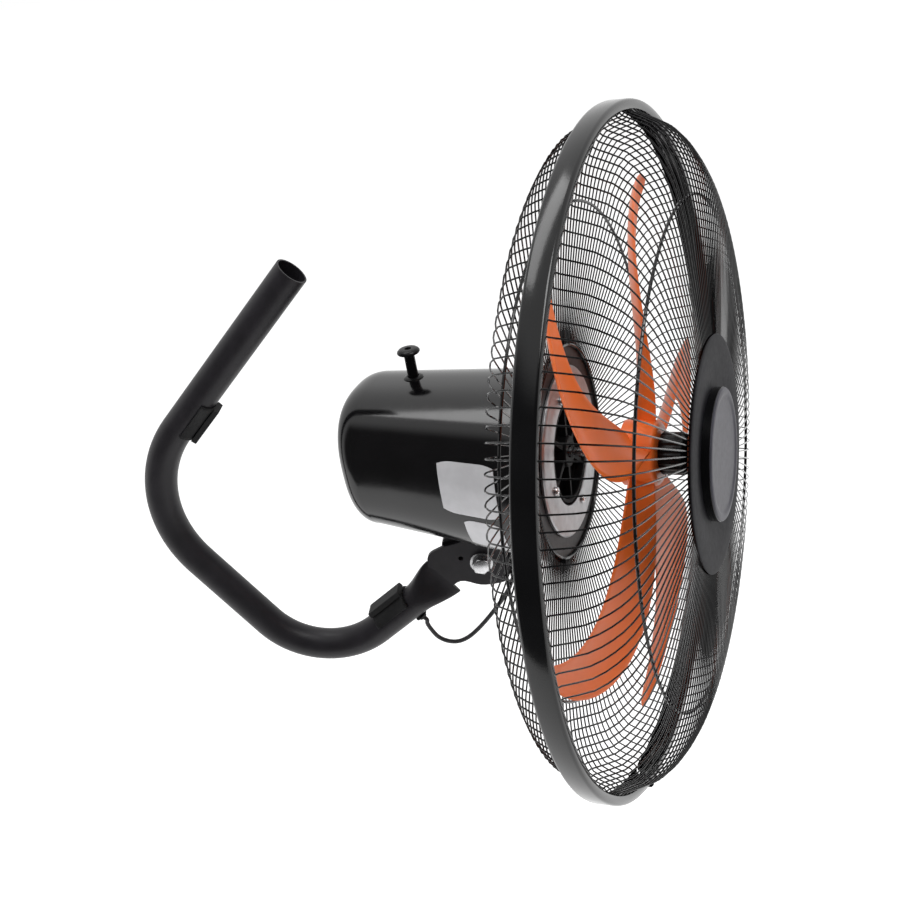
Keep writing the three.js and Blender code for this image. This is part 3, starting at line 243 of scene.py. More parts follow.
FINISHES = {
    "gloss_black": finish_enamel("gloss_black", (0.003, 0.003, 0.0034), 0.13, 0.4),
    "cover_black": finish_enamel("cover_black", (0.003, 0.0028, 0.0032), 0.13, 0.5, 0.012),
    "satin_black": finish_powder("satin_black", (0.005, 0.005, 0.0056), 0.4, 0.22),
    "black_plastic": finish_powder("black_plastic", (0.003, 0.003, 0.0034), 0.28, 0.22, 700, 0.02),
    "arm_paint": finish_powder("arm_paint", (0.013, 0.0118, 0.0142), 0.42, 0.28),
    "plate_grey": finish_powder("plate_grey", (0.012, 0.0115, 0.014), 0.62, 0.12, 900, 0.03),
    "badge_grey": finish_powder("badge_grey", (0.045, 0.043, 0.056), 0.45, 0.3, 900, 0.02),
    "orange": finish_moulding("orange", (0.92, 0.175, 0.03), 0.3, 0.2),
    "cast_metal": finish_metal("cast_metal", (0.46, 0.46, 0.47), 0.36, grain=500, height_mm=0.08),
    "steel": finish_metal("steel", (0.62, 0.62, 0.63), 0.24),
    "laminations": finish_metal("laminations", (0.18, 0.18, 0.19), 0.5, (1, 40, 1), 60, 0.1),
    "copper": finish_metal("copper", (0.55, 0.17, 0.05), 0.35, (1, 1, 1), 700, 0.15),
    "nylon": finish_moulding("nylon", (0.68, 0.65, 0.56), 0.45),
    "label": finish_sticker("label", (0.60, 0.60, 0.62)),
    "rubber": finish_rubber("rubber", (0.006, 0.006, 0.0065)),
    "cord_grey": finish_rubber("cord_grey", (0.03, 0.03, 0.032), 0.5),
}


# ---------------------------------------------------------------- mesh helpers
def piece(name, parts, finish, body, stands_for=(), bevel_mm=0.0, sharp_deg=32, steps=2):
    """One object from (points, faces) parts, with its finish, body, and the CAD nodes it stands for."""
    points, faces = [], []
    for part_points, part_faces in parts:
        start = len(points)
        points += [tuple(p) for p in part_points]
        faces += [[start + i for i in face] for face in part_faces]
    mesh = bpy.data.meshes.new(name)
    mesh.from_pydata(points, [], faces)
    shaped = bmesh.new()
    shaped.from_mesh(mesh)
    bmesh.ops.remove_doubles(shaped, verts=shaped.verts, dist=2e-6)
    bmesh.ops.recalc_face_normals(shaped, faces=shaped.faces)
    shaped.to_mesh(mesh)
    shaped.free()
    mesh.shade_smooth()
    mesh.set_sharp_from_angle(angle=math.radians(sharp_deg))
    made = bpy.data.objects.new(name, mesh)
    bpy.context.scene.collection.objects.link(made)
    mesh.materials.append(FINISHES[finish])
    if bevel_mm:
        bevel = made.modifiers.new("edges", "BEVEL")
        bevel.width = bevel_mm * MM
        bevel.segments = steps
        bevel.limit_method = "ANGLE"
        bevel.angle_limit = math.radians(sharp_deg)
        bevel.harden_normals = True
    if body:
        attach(made, body)
    if stands_for:
        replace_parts(made, *stands_for)
    return made


def across_of(axis):
    """Two directions square to an axis."""
    side = axis.cross(UP)
    if side.length < 0.1:
        side = Vector((1, 0, 0))
    side = (side - axis * side.dot(axis)).normalized()
    return side, axis.cross(side)


def turned(profile, origin=None, axis=Vector((0, 1, 0)), segments=96):
    """A profile of (radius, distance) in mm, turned about an axis; it is closed or ends on the axis."""
    origin = RING if origin is None else origin
    side, other = across_of(axis)
    points, faces = [], []
    for radius, along in profile:
        for k in range(segments):
            angle = 2 * math.pi * k / segments
            outward = side * math.cos(angle) + other * math.sin(angle)
            points.append(origin + (axis * along + outward * radius) * MM)
    closed = profile[0][0] > 1e-6
    rows = len(profile)
    for i in range(rows if closed else rows - 1):
        a, b = i * segments, ((i + 1) % rows) * segments
        for k in range(segments):
            n = (k + 1) % segments
            faces.append([a + k, a + n, b + n, b + k])
    return points, faces


def tube(path, radius_mm, sides=8, closed=False):
    """A round tube through points; its frame is carried along without twist."""
    count = len(path)
    points, faces = [], []
    side = None
    for i, p in enumerate(path):
        ahead = path[(i + 1) % count] if closed or i + 1 < count else p
        behind = path[i - 1] if closed or i > 0 else p
        along = (ahead - behind).normalized()
        side = across_of(along)[0] if side is None else (side - along * side.dot(along)).normalized()
        other = along.cross(side)
        for k in range(sides):
            angle = 2 * math.pi * k / sides
            points.append(p + (side * math.cos(angle) + other * math.sin(angle)) * radius_mm * MM)
    for i in range(count if closed else count - 1):
        a, b = i * sides, ((i + 1) % count) * sides
        for k in range(sides):
            n = (k + 1) % sides
            faces.append([a + k, a + n, b + n, b + k])
    if not closed:
        faces.append(list(range(sides))[::-1])
        faces.append([(count - 1) * sides + k for k in range(sides)])
    return points, faces


def skin(rings, cap_first=True):
    """A skin through closed rings of points, with a cap on the last ring."""
    count = len(rings[0])
    points = [p for one in rings for p in one]
    faces = []
    for i in range(len(rings) - 1):
        a, b = i * count, (i + 1) * count
        for k in range(count):
            n = (k + 1) % count
            faces.append([a + k, a + n, b + n, b + k])
    if cap_first:
        faces.append(list(range(count))[::-1])
    faces.append([(len(rings) - 1) * count + k for k in range(count)])
    return points, faces


def prism(outline, thickness_dir):
    """A flat outline of points carried along a vector."""
    return skin([outline, [p + thickness_dir for p in outline]])


def bar(origin, axis, from_mm, to_mm, radius_mm, sides=6, turn=0.0):
    """A regular bar about an axis, such as a nut or a bolt's head."""
    side, other = across_of(axis)
    angles = [turn + 2 * math.pi * k / sides for k in range(sides)]
    section = [(side * math.cos(a) + other * math.sin(a)) * radius_mm * MM for a in angles]
    return skin([[origin + axis * d * MM + s for s in section] for d in (from_mm, to_mm)])


def centripetal(points, steps):
    """A smooth curve through points, resampled to even steps, and its length."""
    span_steps = 12

    def knot(a, b):
        return max((b - a).length ** 0.5, 1e-9)

    full = [points[0] * 2 - points[1], *points, points[-1] * 2 - points[-2]]
    fine = []
    for i in range(1, len(full) - 2):
        p0, p1, p2, p3 = full[i - 1:i + 3]
        t1 = knot(p0, p1)
        t2 = t1 + knot(p1, p2)
        t3 = t2 + knot(p2, p3)
        for k in range(span_steps):
            t = t1 + (t2 - t1) * k / span_steps
            a1 = p0.lerp(p1, t / t1)
            a2 = p1.lerp(p2, (t - t1) / (t2 - t1))
            a3 = p2.lerp(p3, (t - t2) / (t3 - t2))
            b1 = a1.lerp(a2, t / t2)
            b2 = a2.lerp(a3, (t - t1) / (t3 - t1))
            fine.append(b1.lerp(b2, (t - t1) / (t2 - t1)))
    fine.append(full[-2].copy())
    lengths = [0.0]
    for a, b in zip(fine, fine[1:]):
        lengths.append(lengths[-1] + (b - a).length)
    even, k = [], 0
    for i in range(steps + 1):
        goal = lengths[-1] * i / steps
        while k < len(fine) - 2 and lengths[k + 1] < goal:
            k += 1
        even.append(fine[k].lerp(fine[k + 1], (goal - lengths[k]) / (lengths[k + 1] - lengths[k])))
    return even, lengths[-1]


# ---------------------------------------------------------------- cord
CORD_DIAMETER = 0.004
ARM_OFFSET = -7.7                      # w of the middle of the arm's tube
EXIT = (74, -148.8)                    # middle of the tube where the cord leaves it, as (u, z)
TUBE_R = 14.3                          # outside radius of the arm's tube
exit_way = (BACK * -0.5865 + UP * -0.81).normalized()
grommet_at = in_arm(EXIT[0], ARM_OFFSET, EXIT[1]) + exit_way * (TUBE_R + 0.5) * MM
cord_from = grommet_at + exit_way * 4.3 * MM
GLAND = (-24, 0.6, -126.3)             # under the neck, as (u, w, z)
gland_at = in_arm(*GLAND)
cord_to = gland_at - UP * 6.3 * MM
CORD_POINTS = [                        # the loop, as (u, w, z)
    (61, -7.6, -171), (58, -7.2, -180), (53, -6.4, -189), (45, -5.4, -195), (36, -4.2, -197),
    (27, -3, -194.5), (18, -1.8, -188.5), (8, -0.6, -179.5), (-2, 0.4, -169), (-11, 1.1, -158.5),
    (-18.5, 1.6, -148), (-22.8, 1.8, -139),
]
cord_route = [cord_from, cord_from + exit_way * 4 * MM, *[in_arm(*p) for p in CORD_POINTS],
              cord_to - UP * 4 * MM, cord_to]
cord_path, cord_length = centripetal(cord_route, 90)
cord = piece("cord", [tube(cord_path, CORD_DIAMETER / MM / 2, 14)], "cord_grey", None, ("cord_loop",))
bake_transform(cord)


def sleeve(origin, axis):
    """A rubber grommet: a flange on the wall and a taper along the cord."""
    profile = [(2.15, -2), (4.0, -2), (4.0, 0.3), (6.1, 0.3), (6.2, 1.0), (5.7, 1.8), (4.3, 2.4),
               (3.9, 3.2), (3.5, 4.0), (2.9, 4.2), (2.15, 4.2)]
    return turned(profile, origin, axis, 40)


piece("arm_grommet_sleeve", [sleeve(grommet_at, exit_way)], "rubber", "arm", ("arm_grommet",), 0.2)
piece("neck_gland_sleeve", [sleeve(gland_at, -UP)], "rubber", "neck", ("neck_gland",), 0.2)

# ---------------------------------------------------------------- guards
WIRE_MM = 0.65                         # radius of a guard wire
WIRES = 150
RIM_WIRE_MM, HOOP_WIRE_MM = 2.0, 1.3   # radii of the rim's wire and of a hoop's
HOOP_R = 205
FRONT_WIRE = [(276.5, -2.3), (272.5, -5), (268.6, -11), (259, -30), (236, -46), (HOOP_R, -54.5),
              (150, -59.4), (90, -62.7)]
REAR_WIRE = [(276.5, 2.3), (272.5, 5), (268.6, 11), (262, 28.5), (240, 40), (HOOP_R, 46), (150, 52.5),
             (88, 58.4)]


def around(radius, y, turn):
    """A point round the fan's axis; turn goes from +X towards +Z."""
    return at(radius * math.cos(turn), y, radius * math.sin(turn))


def guard(name, profile, side, node, hoop_node):
    """The radial wires of a guard with its rim, its inner hoop and the small hoop that ends them."""
    smooth, _ = centripetal([Vector((r, 0, y)) * MM for r, y in profile], 20)
    parts = []
    for k in range(WIRES):
        turn = 2 * math.pi * (k + 0.5) / WIRES
        parts.append(tube([around(p.x / MM, p.z / MM, turn) for p in smooth], WIRE_MM, 7))
    rim_r, rim_y = profile[0]
    end_r, end_y = profile[-1]
    rim = [around(rim_r, rim_y, 2 * math.pi * k / 160) for k in range(160)]
    end_hoop = [around(end_r + 1, end_y, 2 * math.pi * k / 96) for k in range(96)]
    parts.append(tube(rim, RIM_WIRE_MM, 10, closed=True))
    parts.append(tube(end_hoop, HOOP_WIRE_MM, 8, closed=True))
    piece(name, parts, "gloss_black", "head", (node,))
    low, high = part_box(hoop_node)
    hoop_y = ((low[1] + high[1]) / 2 - RING.y) / MM
    hoop = [around(HOOP_R, hoop_y + side * 0.35, 2 * math.pi * k / 128) for k in range(128)]
    piece(name + "_hoop", [tube(hoop, HOOP_WIRE_MM, 8, closed=True)], "gloss_black", "head", (hoop_node,))


guard("front_wires", FRONT_WIRE, -1, "front_guard", "front_guard_hoop")
guard("rear_wires", REAR_WIRE, 1, "rear_guard", "rear_guard_hoop")

GUARD_R = 280
SLIT_DEG, SLIT_HALF_DEG = 252, 0.6     # where the band's two ends meet, with a lug on each


def open_ring(profile, from_deg, to_deg, steps):
    """A profile swept round the fan's axis between two angles, closed at its ends."""
    rings = []
    for k in range(steps + 1):
        turn = math.radians(from_deg + (to_deg - from_deg) * k / steps)
        rings.append([around(r, y, turn) for r, y in profile])
    return skin(rings)


BAND = [(GUARD_R, -6.5), (GUARD_R, 6.5), (279.6, 8), (278.4, 9), (273.4, 9), (272.2, 8.6), (272.2, 8.0),
        (277.6, 7.8), (278.8, 6.6), (278.8, -6.6), (277.6, -7.8), (272.2, -8.0), (272.2, -8.6), (273.4, -9),
        (278.4, -9), (279.6, -8)]
band_parts = [open_ring(BAND, SLIT_DEG + SLIT_HALF_DEG, SLIT_DEG + 360 - SLIT_HALF_DEG, 220)]
slit_turn = math.radians(SLIT_DEG)
slit_out = Vector((math.cos(slit_turn), 0, math.sin(slit_turn)))
slit_round = Vector((-math.sin(slit_turn), 0, math.cos(slit_turn)))
LUG = [(279, -7), (287, -7), (289, -5), (289, 5), (287, 7), (279, 7)]
LUG_THICK = 2.5
for lug_low in (-5.5, 3.0):
    outline = [RING + (slit_out * r + slit_round * lug_low) * MM + Vector((0, y, 0)) * MM for r, y in LUG]
    band_parts.append(prism(outline, slit_round * LUG_THICK * MM))
piece("rim_band", band_parts, "gloss_black", "head", ("guard_band",), 0.25, 40)


def screw_head(origin, axis, radius=3.8, depth=2.4):
    """A pan head with a dimple in its middle, its back face at origin."""
    dome = [(0, depth * 0.55), (0.9, depth * 0.6), (1.3, depth), (radius * 0.62, depth),
            (radius * 0.86, depth * 0.85), (radius, depth * 0.4), (radius, 0), (0, 0)]
    return turned(dome, origin, axis, 28)


LUG_SCREW_R = 284.5
lug_at = RING + slit_out * LUG_SCREW_R * MM
piece("rim_screw", [screw_head(lug_at + slit_round * 5.8 * MM, slit_round),
                    bar(lug_at, slit_round, -11.8, 5.8, 2, 20)], "steel", "head", ("band_screw",), 0.12)
piece("rim_nut", [bar(lug_at, slit_round, -9.0, -5.8, 3.8, 6)], "steel", "head", ("band_nut",), 0.3)

# ---------------------------------------------------------------- front plate and badge
plate_profile = [(0, -62.9), (50, -62.9), (57.5, -63), (66, -64), (77, -65.2), (83, -65.45), (91, -65.5),
                 (94, -65.4), (95.6, -65), (96, -64.5), (95.6, -64), (82, -63.9), (57.5, -61.4), (0, -61.3)]
piece("cage_plate", [turned(plate_profile, segments=160)], "plate_grey", "head", ("front_plate",))
badge_profile = [(0, -70.4), (44, -70.4), (46.5, -70.5), (47.6, -71.2), (49, -71.7), (51, -71.7),
                 (52.6, -71.3), (53.4, -70.4), (53.5, -69.6), (53.5, -63.2), (0, -63.2)]
piece("cage_badge", [turned(badge_profile, segments=128)], "badge_grey", "head", ("front_badge",))
side_profile = [(53.52, -69.9), (53.72, -69.6), (53.72, -63.6), (53.52, -63.3)]
piece("badge_side", [turned(side_profile, segments=128)], "gloss_black", "head")

# ---------------------------------------------------------------- middle of the rear guard
disc_profile = [(46.6, 60.0), (60, 60.0), (88.5, 60.0), (91, 59.6), (92, 60.2), (91.4, 61.0), (88, 61.5),
                (46.6, 61.5)]
piece("rear_disc", [turned(disc_profile, segments=128)], "satin_black", "head", ("rear_guard_disc",))
ring_profile = [(45.2, 59.6), (45.2, 57.0), (46.2, 56.4), (47.6, 56.2), (60, 56.2), (64, 56.6), (67.5, 56.3),
                (70.6, 56.6), (71.9, 57.8), (72, 59.6)]
piece("clamp_ring", [turned(ring_profile, segments=112)], "cast_metal", "head", ("guard_clamp_ring",), 0.15)
CLAMP_SCREWS, CLAMP_SCREW_R, CLAMP_SCREW_FROM_DEG = 4, 52, 100
for k in range(CLAMP_SCREWS):
    turn = math.radians(CLAMP_SCREW_FROM_DEG + 360 * k / CLAMP_SCREWS)
    piece(f"ring_screw_{k + 1}", [screw_head(around(CLAMP_SCREW_R, 55.9, turn), Vector((0, -1, 0)))],
          "steel", "head", (f"clamp_screw_{k + 1}",), 0.12)

# The motor's front shield, seen through the clamp ring: a boss for the shaft, a sunk floor and six ribs. The
# feet of the ribs are (out from the axis, across). Its slot is satin_black, with a duller look of its own.
SHIELD_BOSS, SHIELD_WALL_R, SHIELD_FLOOR = 14, 40, 66.0
SHIELD_RIBS, RIB_FROM_DEG, RIB_DEPTH = 6, 20, 7.2
shield_profile = [(5.3, 57.6), (9, 57.3), (12.4, 57.4), (13.2, 58.2), (SHIELD_BOSS, SHIELD_FLOOR - 1),
                  (15, SHIELD_FLOOR), (38.8, SHIELD_FLOOR), (39.7, 65), (SHIELD_WALL_R, 58.2), (40.8, 57.5),
                  (43, 57.3), (43.4, 58), (43.4, 61.9), (58.8, 61.9), (58.8, 70.7), (50.9, 70.7),
                  (50.9, 99.6), (43.1, 99.6), (43.1, 72.7), (11.4, 72.7), (11.4, 62.4), (5.3, 62.4)]
rib_foot = [(SHIELD_BOSS - 1, -2.4), (SHIELD_WALL_R + 0.5, -1.6), (SHIELD_WALL_R + 0.5, 1.6),
            (SHIELD_BOSS - 1, 2.4)]
shield_parts = [turned(shield_profile)]
for k in range(SHIELD_RIBS):
    turn = math.radians(RIB_FROM_DEG + 360 * k / SHIELD_RIBS)
    corners = [around(math.hypot(r, w), SHIELD_FLOOR + 0.4, turn + math.atan2(w, r)) for r, w in rib_foot]
    shield_parts.append(prism(corners, Vector((0, -RIB_DEPTH * MM, 0))))
shield = piece("motor_face", shield_parts, "satin_black", "head", ("front_end_shield",), 0.3, 30)
shield.data.materials[0] = finish_powder("cast_black", (0.003, 0.003, 0.0034), 0.5, 0.06, 500, 0.08)

# ---------------------------------------------------------------- blade
BLADES = 5
HUB_R = 27
BLADE_ROOT_R = HUB_R - 0.8
BLADE_TIP_R = 243
BLADE_THICK = 2.6
# where the blade's two edges lie at its root, halfway and at its tip: degrees from +X towards +Z, and y
LEADING_DEG, LEADING_Y = (54, 63, 44), (2, 3, 16)
TRAILING_DEG, TRAILING_Y = (80, 88, 51), (-17, -16, 11)
TIP_ROUND_FROM = 0.93


def along(values, s):
    """A smooth value through those at the root, halfway and the tip."""
    root, half, tip = values
    return root + (4 * half - 3 * root - tip) * s + (2 * root + 2 * tip - 4 * half) * s * s


def blade_ring(s, steps=22):
    """A closed section of the blade at share s of its length, with rounded edges and a rounded tip."""
    radius = BLADE_ROOT_R + s * (BLADE_TIP_R - BLADE_ROOT_R)
    past = max(0, s - TIP_ROUND_FROM) / (1 - TIP_ROUND_FROM)
    width = (1 - 0.5 * past * past) * math.sqrt(1 - 0.96 * max(0, (past - 0.5) / 0.5) ** 2)
    middle = math.radians(along(LEADING_DEG, s) + along(TRAILING_DEG, s)) / 2
    run = math.radians(along(TRAILING_DEG, s) - along(LEADING_DEG, s)) * radius * width
    depth = (along(TRAILING_Y, s) - along(LEADING_Y, s)) * width
    middle_y = (along(TRAILING_Y, s) + along(LEADING_Y, s)) / 2
    chord = math.hypot(run, depth)
    thick = BLADE_THICK - 0.8 * s
    outline = []
    for face in (1, -1):
        for i in range(steps):
            t = i / steps if face > 0 else 1 - i / steps
            edge = math.sqrt(max(0.0, 1 - (1 - min(1, min(t, 1 - t) * 18)) ** 2))
            lift = 0.08 * chord * (1 - 4 * (t - 0.5) ** 2) + face * edge * thick / 2
            turn = middle + ((t - 0.5) * run - lift * depth / chord) / radius
            outline.append((radius, middle_y + (t - 0.5) * depth + lift * run / chord, turn))
    return outline


BLADE_PLACES = [k / 26 for k in range(25)] + [0.94, 0.955, 0.968, 0.978, 0.986, 0.992, 0.997, 1]
blade_parts = []
for k in range(BLADES):
    first = math.radians(360 * k / BLADES)
    rings = [[around(r, y, turn + first) for r, y, turn in blade_ring(s)] for s in BLADE_PLACES]
    blade_parts.append(skin(rings))
hub_profile = [(4.3, -20), (21, -20), (24.4, -19.6), (26.2, -18.2), (HUB_R, -16), (HUB_R, 9), (24.4, 9),
               (24.4, -16.5), (9.2, -16.5), (9, 12), (4.3, 12)]
blade_parts.append(turned(hub_profile))
piece("blade_moulding", blade_parts, "orange", "rotor", ("fan_blade",), 0.0, 40)

FLUTES, FLUTE_DEPTH, NUT_R = 18, 1.1, 17.5
FLUTES_END_Y, FLUTES_FADE = -45, 5     # the flutes grow from nothing at this y over this many mm
NUT_SHAPE = [(-20.4, 0.9), (-21.2, 0.97), (-22, 1), (-38, 1), (-39.4, 0.985), (-40.4, 0.95), (-42.6, 0.84),
             (-44.4, 0.66), (-45.2, 0.45), (-45.3, 0.2)]          # y, and the share of the nut's radius
nut_rings = []
for y, share in NUT_SHAPE:
    ring = []
    for k in range(FLUTES * 8):
        turn = 2 * math.pi * k / (FLUTES * 8)
        grown = min(1, max(0, (y - FLUTES_END_Y) / FLUTES_FADE))
        groove = FLUTE_DEPTH / 2 * (1 - math.cos(FLUTES * turn)) * grown
        ring.append(around((NUT_R - groove) * share, y, turn))
    nut_rings.append(ring)
piece("blade_nut_cap", [skin(nut_rings)], "black_plastic", "rotor", ("blade_nut",), 0.0, 50)

# ---------------------------------------------------------------- motor cover
COVER_TOP_Z = 65
COVER_FRONT_Y, COVER_ROUNDING_Y, COVER_REAR_Y = 64, 225, 247
COVER_REAR_R, COVER_SLOPE, COVER_END_SHARE, SQUARENESS = 64, 0.0875, 0.7, 2.5


def cover_ring(y, inset=0.0, count=96):
    """A rounded square round the motor, wider towards the front and drawn in at the rear; inset is in mm."""
    past = max(0, y - COVER_ROUNDING_Y) / (COVER_REAR_Y - COVER_ROUNDING_Y)
    share = COVER_END_SHARE + (1 - COVER_END_SHARE) * math.sqrt(max(0, 1 - past ** 2.4))
    full = COVER_REAR_R + (COVER_ROUNDING_Y - min(y, COVER_ROUNDING_Y)) * COVER_SLOPE
    radius = full * share - inset
    centre = COVER_TOP_Z - full + 0.4 * full * (1 - share)
    ring = []
    for k in range(count):
        angle = 2 * math.pi * k / count
        c, s = math.cos(angle), math.sin(angle)
        x = math.copysign(abs(c) ** (2 / SQUARENESS), c)
        z = math.copysign(abs(s) ** (2 / SQUARENESS), s)
        ring.append(at(radius * x, y, centre + radius * z))
    return ring


cover_rows = [(COVER_FRONT_Y, 1.2), (COVER_FRONT_Y + 0.4, 0.4), (COVER_FRONT_Y + 1.2, 0)]
SIDE_ROWS, ROUNDING_ROWS = 6, 16
for k in range(1, SIDE_ROWS + 1):
    cover_rows.append((COVER_FRONT_Y + (COVER_ROUNDING_Y - COVER_FRONT_Y) * k / SIDE_ROWS, 0))
for k in range(1, ROUNDING_ROWS + 1):
    past = math.sin(math.pi / 2 * k / ROUNDING_ROWS)
    cover_rows.append((COVER_ROUNDING_Y + (COVER_REAR_Y - COVER_ROUNDING_Y) * past, 0))
cover_rings = [cover_ring(y, inset) for y, inset in cover_rows]
end_middle = sum(cover_rings[-1], Vector()) / len(cover_rings[-1])
for share in (0.97, 0.9, 0.6, 0.3):
    crown = Vector((0, 0.15 * MM, 0)) * (1 - share)
    cover_rings.append([end_middle + (p - end_middle) * share + crown for p in cover_rings[-1]])
lining = [cover_ring(y, 2.4) for y in (COVER_FRONT_Y + 1, COVER_FRONT_Y)]
cover_skin = skin([*lining, *cover_rings], cap_first=False)
piece("cover_shell", [cover_skin], "cover_black", "head", ("motor_cover",), 0.0, 40)


STICKER_FACE, STICKER_BACK = 0.55, 0.05                # mm outside the cover


def sticker(name, y0, y1, from_deg, to_deg, node):
    """A sticker with rounded corners that follows the cover, whose rings here have one point a degree."""
    steps, rows = 16, 12
    top, under = [], []
    for j in range(rows + 1):
        y = y0 + (y1 - y0) * j / rows
        trim = 2.2 * max(0, 1 - 4 * min(j, rows - j) / rows) ** 2
        ring_top, ring_under = cover_ring(y, -STICKER_FACE, 360), cover_ring(y, -STICKER_BACK, 360)
        for k in range(steps + 1):
            place = from_deg + trim + (to_deg - from_deg - 2 * trim) * k / steps
            i = int(place)
            top.append(ring_top[i].lerp(ring_top[i + 1], place - i))
            under.append(ring_under[i].lerp(ring_under[i + 1], place - i))
    width = steps + 1
    faces = []
    for j in range(rows):
        for k in range(steps):
            a = j * width + k
            faces.append([a, a + 1, a + width + 1, a + width])
    edge = list(range(width)) + [j * width + steps for j in range(1, rows + 1)]
    edge += [rows * width + k for k in range(steps - 1, -1, -1)] + [j * width for j in range(rows - 1, 0, -1)]
    offset = len(top)
    walls = [[a, b, offset + b, offset + a] for a, b in zip(edge, edge[1:] + edge[:1])]
    backs = [[offset + i for i in reversed(face)] for face in faces]
    piece(name, [(top + under, faces + walls + backs)], "label", "head", (node,), 0.0, 60)


sticker("side_sticker", 98, 148, 158, 187.5, "side_label")
sticker("lower_sticker", 98, 132, 191, 217.5, "lower_label")

# ---------------------------------------------------------------- knob
KNOB_X, KNOB_Y = 8, 191
knob_origin = at(KNOB_X, KNOB_Y, 0)
KNOB_CAP_Z = 87                        # about the underside of its cap
knob_cap = [(0, 3.2), (2.6, 3.2), (2.9, 5), (6.4, 5), (8.2, 4.5), (9.6, 3.2), (10, 2), (9.4, 1), (6.4, 0.2),
            (5.0, -1.2), (4.6, -2.6)]
knob_profile = [(r, KNOB_CAP_Z + z) for r, z in knob_cap] + [(4.6, 40), (0, 40)]
piece("knob", [turned(knob_profile, knob_origin, UP, 56)], "black_plastic", "knob", ("swing_knob",), 0.15, 30)
collar_profile = [(5.1, 65.05), (8.6, 65.05), (8.4, 65.6), (7.2, 66.2), (6.2, 66.6), (5.1, 66.6)]
piece("knob_ring", [turned(collar_profile, knob_origin, UP, 48)], "black_plastic", "head", ("knob_collar",))

# ---------------------------------------------------------------- arm
# Points of the tube's middle line, as (u, z): its open end, the corners that its two bends round off, where
# it begins to flatten and where it is flat.
ARM_END = Vector((108.4, 182))
ARM_UPPER_CORNER = Vector((303.6, -4.6))
ARM_LOWER_CORNER = Vector((168.3, -212.8))
ARM_ROUND_TO = Vector((66, -143))
ARM_FLAT_FROM = Vector((37, -122))
UPPER_BEND_R, LOWER_BEND_R, BEND_STEPS = 105, 72, 26
TUBE_WALL = 1.6
EAR_THICK = 4
EAR_HALF = math.pi * TUBE_R / 2 - 1    # about half the width of the tube pressed flat


def bend(before, corner, after, radius, steps):
    """An arc that rounds a corner."""
    a, b = (before - corner).normalized(), (after - corner).normalized()
    half = a.angle(b) / 2
    middle = corner + (a + b).normalized() * radius / math.sin(half)
    first = corner + a * radius / math.tan(half) - middle
    last = corner + b * radius / math.tan(half) - middle
    sweep = math.atan2(first.x * last.y - first.y * last.x, first.dot(last))
    points = []
    for i in range(steps + 1):
        angle = math.atan2(first.y, first.x) + sweep * i / steps
        points.append(middle + Vector((math.cos(angle), math.sin(angle))) * radius)
    return points


arm_path = [ARM_END, *bend(ARM_END, ARM_UPPER_CORNER, ARM_LOWER_CORNER, UPPER_BEND_R, BEND_STEPS),
            *bend(ARM_UPPER_CORNER, ARM_LOWER_CORNER, ARM_ROUND_TO, LOWER_BEND_R, BEND_STEPS), ARM_ROUND_TO]


def arm_ring(path, i, half_height, half_width, power=2.0, count=48):
    """A section across point i of the path; a power above 2 squares it."""
    ahead = path[min(len(path) - 1, i + 1)]
    behind = path[max(0, i - 1)]
    along = (ahead - behind).normalized()
    ring = []
    for k in range(count):
        angle = 2 * math.pi * k / count
        c, s = math.cos(angle), math.sin(angle)
        a = half_height * math.copysign(abs(c) ** (2 / power), c)
        b = half_width * math.copysign(abs(s) ** (2 / power), s)
        ring.append(in_arm(path[i].x - along.y * a, ARM_OFFSET + b, path[i].y + along.x * a))
    return ring


def ease(t):
    return t * t * (3 - 2 * t)


outer = [arm_ring(arm_path, i, TUBE_R, TUBE_R) for i in range(len(arm_path))]
outer.insert(0, arm_ring([ARM_END, ARM_UPPER_CORNER], 0, TUBE_R - 0.35, TUBE_R - 0.35))
FLAT_STEPS = 12
for j in range(1, FLAT_STEPS + 1):
    t = ease(j / FLAT_STEPS)
    middle = ARM_ROUND_TO.lerp(ARM_FLAT_FROM, j / FLAT_STEPS)
    line = [ARM_ROUND_TO, middle, ARM_FLAT_FROM + (ARM_FLAT_FROM - ARM_ROUND_TO)]
    half_height = TUBE_R + (EAR_HALF - TUBE_R) * t
    half_width = TUBE_R + (EAR_THICK / 2 - TUBE_R) * t
    outer.append(arm_ring(line, 1, half_height, half_width, 2 + 2.5 * t))
BORE_R = TUBE_R - TUBE_WALL
inner = [arm_ring(arm_path, i, BORE_R, BORE_R) for i in range(len(arm_path) - 1)]
inner.insert(0, arm_ring([ARM_END, ARM_UPPER_CORNER], 0, BORE_R + 0.3, BORE_R + 0.3))
arm_skin = skin([*inner[::-1], *outer])


def smooth_outline(points, steps=5):
    """Rounds a closed outline of (u, z) points with a smooth curve."""
    count = len(points)
    result = []
    for i in range(count):
        p0, p1, p2, p3 = (Vector(points[(i + k) % count]) for k in (-1, 0, 1, 2))
        for k in range(steps):
            t = k / steps
            result.append(0.5 * (2 * p1 + (p2 - p0) * t + (2 * p0 - 5 * p1 + 4 * p2 - p3) * t * t
                                 + (3 * p1 - p0 - 3 * p2 + p3) * t ** 3))
    return result


